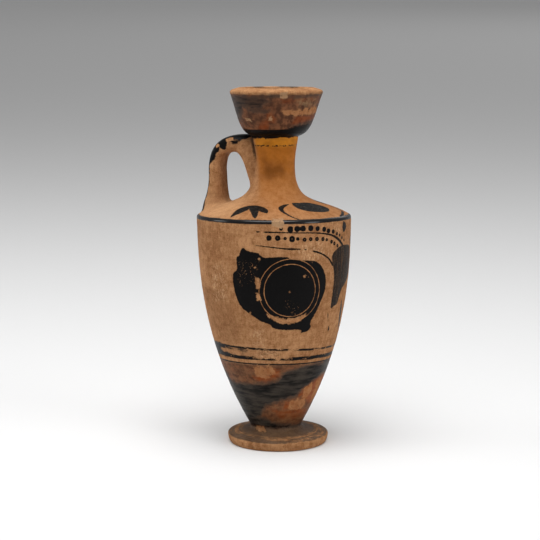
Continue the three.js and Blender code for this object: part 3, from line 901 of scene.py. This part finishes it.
def fired(red, green, blue):
    """A colour as the eye names it, 0 to 255, as the shader wants it."""
    parts = [c / 255 for c in (red, green, blue)]
    return (*[p / 12.92 if p <= 0.04045 else ((p + 0.055) / 1.055) ** 2.4 for p in parts], 1)


CLAY_LIGHT = fired(184, 136, 94)
CLAY_DARK = fired(132, 88, 54)
HOLLOW_LIGHT = fired(186, 134, 92)
HOLLOW_DARK = fired(140, 92, 58)
DARK_GRIT = fired(66, 42, 26)
PALE_GRIT = fired(204, 168, 128)
OLD_STAIN = fired(92, 60, 38)
SCRAPED_CLAY = fired(216, 176, 134)
SCORED_CLAY = fired(200, 138, 86)
FRESH_DARK = fired(146, 92, 56)
FRESH_LIGHT = fired(166, 118, 78)
CHIP_DUST = fired(158, 132, 102)
# Painted shade for the cleft beside the neck, where the handle is pressed on.
PAINTED_CLEFT_SHADE = fired(38, 22, 14)
DEEP_SHOULDER = fired(134, 82, 38)
PALE_SHOULDER = fired(208, 164, 120)
YELLOW_WASH = fired(180, 106, 28)
BRIGHT_WASH = fired(222, 146, 34)
DEEP_WASH = fired(118, 64, 14)
STAINED_WASH = fired(84, 42, 8)
THIN_SLIP = fired(64, 57, 50)
THICK_SLIP = fired(9, 8, 8)
# Grey of rubbed slip, also used as a painted sheen of the light from above on the shoulder's top.
WORN_AND_SHEEN_SLIP = fired(74, 69, 63)
RUST_DARK = fired(68, 41, 28)
RUST_LIGHT = fired(124, 78, 52)
RUST_STREAK = fired(62, 38, 27)
ORANGE_SLIP = fired(128, 56, 16)
LOW_RUST = fired(66, 32, 12)
GREY_BLOOM = fired(140, 112, 80)
CUP_STREAK = fired(78, 46, 28)
JAR_CLAY = {"Light": CLAY_LIGHT, "Dark": CLAY_DARK, "Grit": 0.8, "Seed": 0.0}
HOLLOW_CLAY = {"Light": HOLLOW_LIGHT, "Dark": HOLLOW_DARK, "Grit": 0.5, "Seed": 40.0}
RELIEF_DEPTH = 0.0003


class Field:
    """A value over the surface, so that a mask reads as a formula."""

    def __init__(self, tree, socket):
        self.tree, self.socket = tree, socket

    def put(self, operation, *others):
        values = [o.socket if isinstance(o, Field) else o for o in (self, *others)]
        return Field(self.tree, calculate(self.tree, operation, *values))

    def __add__(self, other):
        return self.put("ADD", other)

    def __sub__(self, other):
        return self.put("SUBTRACT", other)

    def __mul__(self, other):
        return self.put("MULTIPLY", other)

    def __truediv__(self, other):
        return self.put("DIVIDE", other)

    def size(self):
        return self.put("ABSOLUTE")

    def most(self, other):
        return self.put("MAXIMUM", other)

    def ramp(self, low, high):
        """0 below low, 1 above high, smooth between."""
        ends = [e.socket if isinstance(e, Field) else e for e in (low, high)]
        return Field(self.tree, wire(self.tree, "ShaderNodeMapRange",
                     {"Value": self.socket, "From Min": ends[0], "From Max": ends[1]},
                     interpolation_type="SMOOTHSTEP"))

    def below(self, level, width):
        """0 above the level, 1 where the value is lower by the width or more."""
        return (self * -1 + level).ramp(0.0, width)

    def without(self, other):
        return self * (other * -1 + 1)


def raw(value):
    return value.socket if isinstance(value, Field) else value


def group(name, inputs, outputs):
    """A node group with its sockets. Gives back the tree, its inputs as fields, and its end node."""
    tree = bpy.data.node_groups.new(name, "ShaderNodeTree")
    for label, kind in inputs.items():
        tree.interface.new_socket(label, in_out="INPUT", socket_type="NodeSocket" + kind)
    for label, kind in outputs.items():
        tree.interface.new_socket(label, in_out="OUTPUT", socket_type="NodeSocket" + kind)
    start = tree.nodes.new("NodeGroupInput")
    fields = {label: Field(tree, start.outputs[label]) for label in inputs}
    return tree, fields, tree.nodes.new("NodeGroupOutput")


def use(tree, shared, inputs):
    """Places a shared group in a tree with its own values. Gives back its outputs as fields."""
    node = tree.nodes.new("ShaderNodeGroup")
    node.node_tree = shared
    for label, value in inputs.items():
        if isinstance(value, Field):
            tree.links.new(value.socket, node.inputs[label])
        else:
            node.inputs[label].default_value = value
    return {socket.name: Field(tree, socket) for socket in node.outputs}


def finish_group(tree, end, outputs):
    for label, field in outputs.items():
        tree.links.new(field.socket, end.inputs[label])
    return tree


def noise(tree, place, scale, detail=2.0, roughness=0.5):
    inputs = {"Vector": raw(place), "Scale": raw(scale), "Detail": detail, "Roughness": roughness}
    return Field(tree, wire(tree, "ShaderNodeTexNoise", inputs, noise_dimensions="3D"))


def mixed(tree, share, below, above):
    return Field(tree, wire(tree, "ShaderNodeMix", {"Factor": raw(share), "A": raw(below), "B": raw(above)},
                            data_type="RGBA"))


def split(tree, place):
    node = tree.nodes.new("ShaderNodeSeparateXYZ")
    tree.links.new(place.socket, node.inputs[0])
    return [Field(tree, socket) for socket in node.outputs]


def bundle(tree, x, y, z):
    return Field(tree, wire(tree, "ShaderNodeCombineXYZ", {0: raw(x), 1: raw(y), 2: raw(z)}))


def moved(tree, place, seed):
    shift = wire(tree, "ShaderNodeCombineXYZ", {0: raw(seed), 1: raw(seed), 2: raw(seed)})
    return Field(tree, wire(tree, "ShaderNodeVectorMath", {0: raw(place), 1: shift}, operation="ADD"))


def stretched_place(tree, place, around, up):
    """Coordinates that are stretched round the pot or up it, without a seam."""
    x, y, h = split(tree, place)
    radius = (x * x + y * y).put("SQRT").most(0.5)
    return bundle(tree, x / radius * around, y / radius * around, h * up)


def ragged_group():
    """A soft or broken edge on an area given by its depth inside, in millimetres."""
    tree, f, end = group("Ragged edge", {"Depth": "Float", "Place": "Vector", "Wander": "Float",
                         "Wander scale": "Float", "Softness": "Float", "Flaking": "Float"}, {"Mask": "Float"})
    wander = (noise(tree, f["Place"], f["Wander scale"], 4.0, 0.6) - 0.5) * f["Wander"] * 2
    edge = (f["Depth"] + wander).ramp(f["Softness"] * -1, f["Softness"])
    crumbs = noise(tree, f["Place"], 1.3, 3.0, 0.7)
    limit = f["Flaking"] * -0.45 + 0.82
    lost = crumbs.ramp(limit, limit + 0.05)
    return finish_group(tree, end, {"Mask": edge.without(lost)})


def band_group():
    """A line painted round the pot on the wheel, tilted and uneven as the brush left it."""
    tree, f, end = group("Wheel line", {"Place": "Vector", "Height": "Float", "Half width": "Float",
                         "Tilt": "Float", "Tilt towards": "Float", "Unevenness": "Float", "Gaps": "Float"},
                         {"Mask": "Float"})
    x, y, h = split(tree, f["Place"])
    angle = y.put("ARCTAN2", x)
    tilt = (angle - f["Tilt towards"]).put("COSINE") * f["Tilt"]
    slow = stretched_place(tree, f["Place"], 3.0, 0.4)
    quick = stretched_place(tree, f["Place"], 26.0, 1.4)
    waver = (noise(tree, moved(tree, slow, f["Height"]), 1.0) - 0.5) * f["Unevenness"] * 2.5
    swell = (noise(tree, moved(tree, slow, f["Half width"]), 1.7) - 0.5) * f["Unevenness"] * 2 + 1
    width = f["Half width"] * swell
    rough = (noise(tree, quick, 1.0, 3.0) - 0.5) * 0.5
    off = (h - f["Height"] - tilt + waver * 0.5 + rough * 0.5).size()
    line = (off * -1 + width).ramp(-0.12, 0.16)
    broken = noise(tree, moved(tree, slow, f["Tilt towards"]), 2.6, 3.0, 0.65)
    kept = broken.ramp(f["Gaps"] - 0.06, f["Gaps"] + 0.06)
    return finish_group(tree, end, {"Mask": line * kept})


def brush_group():
    """Streaks that the brush leaves in thin slip, 0 thin to 1 thick."""
    tree, f, end = group("Brush streaks", {"Place": "Vector", "Around": "Float", "Up": "Float",
                         "Seed": "Float"}, {"Thickness": "Float"})
    place = moved(tree, stretched_place(tree, f["Place"], f["Around"], f["Up"]), f["Seed"])
    streak = noise(tree, place, 1.0, 3.0, 0.6)
    return finish_group(tree, end, {"Thickness": streak.ramp(0.34, 0.66)})


def clay_group():
    """Fired clay: cloudy colour, faint lines from the wheel, fine grit and pores."""
    tree, f, end = group("Fired clay", {"Place": "Vector", "Light": "Color", "Dark": "Color", "Grit": "Float",
                         "Seed": "Float"}, {"Colour": "Color", "Height": "Float"})
    place = moved(tree, f["Place"], f["Seed"])
    cloud = noise(tree, place, 0.055, 3.0, 0.55)
    mottle = noise(tree, place, 0.42, 4.0, 0.62)
    lines = noise(tree, moved(tree, stretched_place(tree, f["Place"], 4.5, 1.5), f["Seed"]), 1.0, 3.0, 0.6)
    tall = moved(tree, stretched_place(tree, f["Place"], 38.0, 0.28), f["Seed"])
    upright = noise(tree, tall, 1.0, 2.0, 0.6)
    grit = noise(tree, place, 1.9, 2.0, 0.7)
    share = cloud * 1.0 + mottle * 1.3 + lines * 0.4 + upright * 0.6 + (grit - 0.5) * f["Grit"] * 1.2 - 1.15
    colour = mixed(tree, share.ramp(0.0, 1.0), f["Dark"], f["Light"])
    dark_grit = grit.ramp(0.70, 0.78) * f["Grit"] * 0.5
    colour = mixed(tree, dark_grit, colour, DARK_GRIT)
    pale_grit = noise(tree, moved(tree, place, 31.0), 1.5, 2.0, 0.6).ramp(0.69, 0.76) * f["Grit"] * 0.6
    colour = mixed(tree, pale_grit, colour, PALE_GRIT)
    height = mottle * 0.5 + lines * 0.35 + upright * 0.15 + grit * 0.22 - dark_grit * 0.5
    return finish_group(tree, end, {"Colour": colour, "Height": height})


def slip_group():
    """Dark slip: near black where thick and well fired, brown where thin, dusty where rubbed, and grey where
    it is given a painted sheen.
    """
    tree, f, end = group("Dark slip", {"Place": "Vector", "Thickness": "Float", "Wear and sheen": "Float"},
                         {"Colour": "Color", "Roughness": "Float"})
    cloud = noise(tree, f["Place"], 0.16, 4.0, 0.6)
    fine = noise(tree, f["Place"], 1.4, 3.0, 0.7)
    thick = f["Thickness"] + (cloud - 0.5) * 0.5
    colour = mixed(tree, thick.ramp(0.2, 0.75), THIN_SLIP, THICK_SLIP)
    # Grey where rubbed, which also serves as a painted sheen.
    colour = mixed(tree, fine.ramp(0.45, 0.75) * f["Wear and sheen"], colour, WORN_AND_SHEEN_SLIP)
    rough = fine * 0.2 + f["Wear and sheen"] * 0.22 + 0.3
    return finish_group(tree, end, {"Colour": colour, "Roughness": rough})


def rings_group():
    """Two rings and the compass prick, scratched through the slip of each eye down to the clay."""
    tree, f, end = group("Compass rings", {"Place": "Vector", "Round": "Float", "Height": "Float",
                         "Inner": "Float", "Outer": "Float"}, {"Mask": "Float"})
    x, y, h = split(tree, f["Place"])
    radius = (x * x + y * y).put("SQRT")
    across = (y.put("ARCTAN2", x).size() - f["Round"]) * radius
    up = h - f["Height"]
    reach = (across * across + up * up).put("SQRT")
    uneven = (noise(tree, f["Place"], 0.25, 2.0) - 0.5) * 0.35
    worn = noise(tree, moved(tree, f["Place"], 9.0), 0.5, 3.0, 0.7)
    width = (worn - 0.5) * 0.45 + 0.06
    inner = (reach - f["Inner"] + uneven).size()
    outer = (reach - f["Outer"] - uneven * 0.8).size()
    rings = (inner * -1 + width).ramp(-0.16, 0.16).most((outer * -1 + width * 0.85).ramp(-0.16, 0.16))
    off_prick = ((across - 0.4) * (across - 0.4) + (up + 0.5) * (up + 0.5)).put("SQRT")
    prick = (off_prick * -1 + 0.45).ramp(-0.2, 0.3)
    return finish_group(tree, end, {"Mask": rings.most(prick * worn.ramp(0.4, 0.6))})


def marks_group():
    """Brush lines and dots, from each corner's place in the nearest mark's own frame."""
    tree, f, end = group("Brush marks", {"Place": "Vector", "Stroke": "Vector", "Dot": "Vector"},
                         {"Mask": "Float", "Heart": "Float"})
    fuzz = (noise(tree, f["Place"], 1.2, 3.0) - 0.5) * 0.5
    along, off, width = split(tree, f["Stroke"])
    line = (width - off.size() + fuzz).ramp(-0.1, 0.14)
    dx, dy, size = split(tree, f["Dot"])
    reach = (dx * dx + dy * dy).put("SQRT")
    dot = (size - reach + fuzz * 0.8).ramp(-0.1, 0.14)
    low_row = split(tree, f["Place"])[2].below(86.0, 0.6)
    heart = (reach * -1 + size * 0.22).ramp(-0.1, 0.22) * low_row
    heart = heart * noise(tree, f["Place"], 0.21, 1.0).ramp(0.36, 0.5)
    return finish_group(tree, end, {"Mask": line.most(dot), "Heart": heart})


def read(tree, name, vector=False):
    node = tree.nodes.new("ShaderNodeAttribute")
    node.attribute_name = name
    return Field(tree, node.outputs["Vector" if vector else "Fac"])


def new_material(name):
    material = bpy.data.materials.new(name)
    material.use_nodes = True
    return material, material.node_tree, material.node_tree.nodes["Principled BSDF"]


def relief(tree, shader, height, depth):
    tree.links.new(wire(tree, "ShaderNodeBump", {"Height": raw(height), "Distance": depth, "Strength": 1.0}),
                   shader.inputs["Normal"])


def painted_clay(groups):
    """The outside and the cup: clay, stains and wash, then the slip, then what wore through it."""
    material, tree, shader = new_material("painted clay")
    place = read(tree, "wheel", True)
    x, y, h = split(tree, place)
    clay = use(tree, groups["clay"], {"Place": place, **JAR_CLAY})

    def area(name, wander, scale, softness, flaking=0.0):
        return use(tree, groups["ragged"], {"Depth": read(tree, name), "Place": place, "Wander": wander,
                   "Wander scale": scale, "Softness": softness, "Flaking": flaking})["Mask"]

    def line(height, half_width, tilt, towards, uneven, gaps):
        return use(tree, groups["band"], {"Place": place, "Height": height, "Half width": half_width,
                   "Tilt": tilt, "Tilt towards": math.radians(towards), "Unevenness": uneven,
                   "Gaps": gaps})["Mask"]

    def brushed(around, up, seed):
        return use(tree, groups["brush"], {"Place": place, "Around": around, "Up": up,
                   "Seed": seed})["Thickness"]

    def in_cup():
        return h.ramp(CUP_START, CUP_FULL)

    colour = clay["Colour"]
    # Stains, rubbed patches and the thin yellow wash on the neck.
    stained = area("stained", 3.0, 0.2, 3.0)
    colour = mixed(tree, stained * 0.22, colour, OLD_STAIN)
    scratches = brushed(40.0, 0.25, 7.0)
    pale = area("pale", 2.0, 0.5, 1.5)
    rubbed = pale * scratches * noise(tree, place, 1.1, 3.0, 0.7).ramp(0.45, 0.6)
    colour = mixed(tree, rubbed * 0.62, colour, SCRAPED_CLAY)
    washed = area("washed", 1.5, 0.3, 2.5)
    colour = mixed(tree, washed * (h.ramp(90.0, 120.0) * 0.7 + 0.2), colour, YELLOW_WASH)
    glow = brushed(2.2, 0.35, 3.0)
    colour = mixed(tree, washed * h.ramp(119.5, 121.0) * 0.45, colour, BRIGHT_WASH)
    colour = mixed(tree, washed * glow * h.ramp(98.0, 112.0) * 0.35, colour, DEEP_WASH)
    colour = mixed(tree, washed * stained * 0.55, colour, STAINED_WASH)

    on_shoulder = h.ramp(89.0, 93.0) * h.below(SHOULDER_TOP, 8.0)
    colour = mixed(tree, on_shoulder * x.ramp(-12.0, 3.0) * 0.34, colour, DEEP_SHOULDER)
    colour = mixed(tree, on_shoulder * (x * -1).ramp(2.0, 14.0) * 0.3, colour, PALE_SHOULDER)

    # Slip that turned red and brown in the kiln, and orange where it is thinnest.
    streaks = brushed(2.4, 0.75, 12.0)
    misfired = area("misfired", 0.5, 0.5, 0.3)
    hue = noise(tree, stretched_place(tree, place, 7.0, 0.42), 1.0, 4.0, 0.65)
    rust = mixed(tree, hue.ramp(0.38, 0.62), RUST_DARK, RUST_LIGHT)
    rust = mixed(tree, streaks * 0.5, rust, RUST_STREAK)
    fleck = noise(tree, moved(tree, place, 5.0), 0.55, 4.0, 0.7)
    thinnest = area("orange", 1.6, 0.5, 1.2)
    orange = thinnest * fleck.ramp(0.28, 0.52) * (in_cup() * -0.4 + 1)
    rust = mixed(tree, orange.most(fleck.ramp(0.64, 0.7) * 0.6), rust, ORANGE_SLIP)
    rust = mixed(tree, h.below(11.0, 5.0) * 0.55, rust, LOW_RUST)
    clay_shows = streaks * h.below(60.0, 1.0) * 0.22 + 0.02
    colour = mixed(tree, misfired * (clay_shows * -1 + 0.97), colour, rust)
    colour = mixed(tree, pale * misfired * fleck.ramp(0.4, 0.6) * 0.6, colour, GREY_BLOOM)

    # Areas of full slip, then the lines, marks and eyes.
    swept = stretched_place(tree, place, 5.0, 0.5)
    black_depth = read(tree, "black")
    black = use(tree, groups["ragged"], {"Depth": black_depth, "Place": swept, "Wander": 2.1,
                "Wander scale": 1.2, "Softness": h.below(31.0, 2.0).most(in_cup()) * 0.9 + 0.6,
                "Flaking": 0.0})["Mask"]
    eye = area("eye", 0.4, 0.9, 0.14, 0.1)
    plume = area("plume", 0.35, 0.8, 0.2, 0.06)
    upright = brushed(56.0, 0.09, 2.0)
    marks = use(tree, groups["marks"], {"Place": place, "Stroke": read(tree, "stroke", True),
                                        "Dot": read(tree, "dot", True)})
    lines = line(*WHEEL_LINES[0])
    for wheel_line in WHEEL_LINES[1:]:
        lines = lines.most(line(*wheel_line))
    mottled = pale * h.below(38.0, 0.8) * noise(tree, place, 1.7, 3.0, 0.6).ramp(0.38, 0.68) * 0.5

    # The top of the foot, worn in rings.
    out = (x * x + y * y).put("SQRT")
    foot_top = (h + 2.6).ramp(0.6, 1.0) * (h * -1 + 2.8).ramp(0.1, 0.6)
    drift = noise(tree, place, 0.09, 2.0) * 1.4
    ring_noise = noise(tree, bundle(tree, out * 1.6 + drift, drift * 1.4, 0.0), 1.0, 4.0, 0.7)
    rim = (out * -1 + 20.2).size() * -0.12 + 0.1
    left = ring_noise + rim.most(0.0) * 0.6 + (noise(tree, place, 0.5, 3.0, 0.6) - 0.5) * 0.35
    left = left + (x * -0.34 + y * -0.94).ramp(15.0, 20.0) * 0.3 + out.below(16.0, 2.5) * 0.16
    foot_slip = foot_top * left.ramp(0.43, 0.56)

    strap = read(tree, "strap")
    chipped = area("chipped", 1.15, 0.75, 0.25, 0.45)
    bare = area("worn", 2.6, 0.42, 0.45, 0.5).most(chipped)
    worn_eye = pale * eye * noise(tree, place, 1.25, 3.0, 0.65).ramp(0.6, 0.66)
    plume_slip = plume * (upright.ramp(0.1, 0.5) * 0.13 + 0.85).most(h.ramp(90.0, 91.0))
    full = black.most(eye).most(marks["Mask"].without(marks["Heart"] * 0.6))
    full = full.most(lines.without(strap)).most(mottled)
    degrees, ring_height, inner, outer = EYE_RINGS
    rings = use(tree, groups["rings"], {"Place": place, "Round": math.radians(degrees),
                                        "Height": ring_height, "Inner": inner, "Outer": outer})["Mask"]
    scored = rings * eye
    slip_mask = full.most(foot_slip * 0.76).most(plume_slip)
    slip_mask = slip_mask.without(scored).without(bare).without(worn_eye * 0.8)
    on_top = (h - BODY_HEIGHT - 0.3).ramp(0.0, 1.0) * h.below(SHOULDER_TOP, 4.0)
    low_or_cup = h.below(32.0, 2.0).most(in_cup())
    thickness = full * 0.8 + plume * 0.6 + foot_slip * ring_noise.ramp(0.4, 0.55) * 0.75 + 0.2
    thickness = thickness - low_or_cup * (streaks * 0.3 + 0.36)
    # Grey on the slip: rubbed wear on the plume, and on the shoulder's top partly rubbed wear and partly a
    # painted sheen of the light from above.
    wear_and_sheen = on_top * 0.6 + plume * (upright * -0.75 + 0.85) + 0.03
    slip = use(tree, groups["slip"], {"Place": place, "Thickness": thickness, "Wear and sheen": wear_and_sheen})

    fresh = mixed(tree, hue.ramp(0.3, 0.7), FRESH_DARK, FRESH_LIGHT)
    colour = mixed(tree, bare * misfired * 0.92, colour, fresh)
    dusty = chipped * (h - 88.0).ramp(0.0, 0.4).without(strap)
    colour = mixed(tree, slip_mask, colour, slip["Colour"])
    colour = mixed(tree, slip_mask * in_cup() * (streaks * 0.45 + 0.08), colour, CUP_STREAK)
    colour = mixed(tree, dusty * 0.6, colour, CHIP_DUST)
    colour = mixed(tree, scored * 0.7, colour, SCORED_CLAY)
    # Painted shade: the clay is darkened along the cleft where the handle meets the neck, more towards the
    # top.
    cleft = read(tree, "cleft").below(1.5, 1.3)
    cleft = cleft * (noise(tree, place, 0.7, 2.0) * 0.7 + h.ramp(108.0, 122.0) * 0.8 - 0.5).ramp(0.1, 0.5)
    colour = mixed(tree, cleft * 0.85, colour, PAINTED_CLEFT_SHADE)
    tree.links.new(colour.socket, shader.inputs["Base Color"])

    coated = slip_mask.most(misfired.without(bare) * 0.75).most(washed * 0.5)
    roughness = coated * (slip["Roughness"] - 0.8) + 0.8
    tree.links.new(roughness.socket, shader.inputs["Roughness"])
    polished = lines * (h - BODY_HEIGHT + 1.5).ramp(0.0, 0.3) * (h * -1 + BODY_HEIGHT + 1.8).ramp(0.0, 0.3)
    tree.links.new((polished.without(bare) * 0.5).socket, shader.inputs["Coat Weight"])
    shader.inputs["Coat Roughness"].default_value = 0.14
    # The relief has its own short chain: a bump works out its whole input three times over.
    texture_place = read(tree, "wheel", True)
    covered = read(tree, "black").most(read(tree, "eye")).most(read(tree, "misfired") * 0.5).ramp(-0.3, 0.5)
    bumps = use(tree, groups["clay"], {"Place": texture_place, **JAR_CLAY})["Height"]
    relief(tree, shader, bumps * (covered * -0.55 + 1), RELIEF_DEPTH)
    shader.inputs["Specular IOR Level"].default_value = 0.07
    return material


def inner_clay(groups):
    """The hollow, where no slip was brushed."""
    material, tree, shader = new_material("inner clay")
    clay = use(tree, groups["clay"], {"Place": read(tree, "wheel", True), **HOLLOW_CLAY})
    tree.links.new(clay["Colour"].socket, shader.inputs["Base Color"])
    relief(tree, shader, clay["Height"], RELIEF_DEPTH)
    shader.inputs["Roughness"].default_value = 0.85
    shader.inputs["Specular IOR Level"].default_value = 0.3
    return material


def dent(points, degrees, height, wide, deep, radius):
    """Knocks a shallow ragged chip out of the surface."""
    outer = np.hypot(points[:, 0], points[:, 1]) > 0.8 * radius
    near = np.where(outer & (np.abs(points[:, 2] - height) < 2 * wide))[0]
    place = points[near]
    around = (np.degrees(np.arctan2(place[:, 1], place[:, 0])) - degrees + 180) % 360 - 180
    gap = np.hypot(np.radians(around) * radius, place[:, 2] - height)
    rough = np.array([texture.noise(Vector(p * 0.8)) for p in place])
    share = np.clip(1.25 - gap / wide + 0.5 * rough, 0, 1)
    share = share * share * (3 - 2 * share)
    place[:, :2] *= (1 - share * deep / radius)[:, None]
    points[near] = place


groups = {"ragged": ragged_group(), "band": band_group(), "brush": brush_group(), "clay": clay_group(),
          "slip": slip_group(), "rings": rings_group(), "marks": marks_group()}
clay = painted_clay(groups)
mesh, seam_distance = jar_mesh(clay)
straight = coordinates(mesh)
hidden = paint(mesh, straight, seam_distance)
for chip in CHIPS:
    dent(straight, *chip)
put_back(mesh, settled(straight) * UNIT)
mesh.materials.clear()
mesh.materials.append(clay)
mesh.materials.append(inner_clay(groups))
for polygon in mesh.polygons:
    polygon.use_smooth = True
    below_cup = straight[polygon.vertices[0], 2] < MOUTH_Z
    polygon.material_index = int(below_cup and hidden[list(polygon.vertices)].all())
jar = link(mesh, "painted_lekythos")
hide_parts(JAR)
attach(jar, "root")
print("jar triangles", sum(len(p.vertices) - 2 for p in mesh.polygons), "vertices", len(mesh.vertices))


def camera():
    right = Vector((math.cos(VIEW_AZIMUTH), math.sin(VIEW_AZIMUTH), 0))
    away = Vector((-math.sin(VIEW_AZIMUTH), math.cos(VIEW_AZIMUTH), 0))
    back = Vector((0, 0, math.sin(VIEW_ELEVATION))) - away * math.cos(VIEW_ELEVATION)
    aim = right * AIM_SIDEWAYS + Vector((0, 0, AIM_HEIGHT))
    lens = bpy.data.cameras.new("camera")
    lens.sensor_width = SENSOR_MM
    lens.lens = FOCAL_PIXELS / PHOTO_PIXELS * SENSOR_MM
    lens.clip_end = 50
    lens.clip_start = 0.01
    viewer = link(lens, "camera")
    viewer.location = (aim + back * VIEW_DISTANCE) * UNIT
    viewer.rotation_euler = back.to_track_quat("Z", "Y").to_euler()
    bpy.context.scene.camera = viewer


camera()

floor_mesh = bpy.data.meshes.new("floor")
corners = [(x * FLOOR_REACH, y * FLOOR_REACH, 0) for x, y in ((-1, -1), (1, -1), (1, 1), (-1, 1))]
floor_mesh.from_pydata(corners, [], [(0, 1, 2, 3)])
floor = link(floor_mesh, "floor")
pale, _, pale_shader = new_material("pale floor")
pale_shader.inputs["Base Color"].default_value = STUDIO_GREY
pale_shader.inputs["Roughness"].default_value = 0.9
floor_mesh.materials.append(pale)


def softbox(name, place, size, watts):
    light = bpy.data.lights.new(name, "AREA")
    light.shape = "DISK"
    light.size = size
    light.energy = watts
    lamp = link(light, name)
    lamp.location = place
    lamp.rotation_euler = (Vector(LAMP_AIM) - Vector(place)).to_track_quat("-Z", "Y").to_euler()


for lamp in LAMPS:
    softbox(*lamp)
world = bpy.data.worlds.new("studio")
world.use_nodes = True
sky = world.node_tree.nodes["Background"]
sky.inputs["Color"].default_value = STUDIO_GREY
sky.inputs["Strength"].default_value = SKY_STRENGTH
bpy.context.scene.world = world
bpy.context.scene.view_settings.view_transform = "Standard"
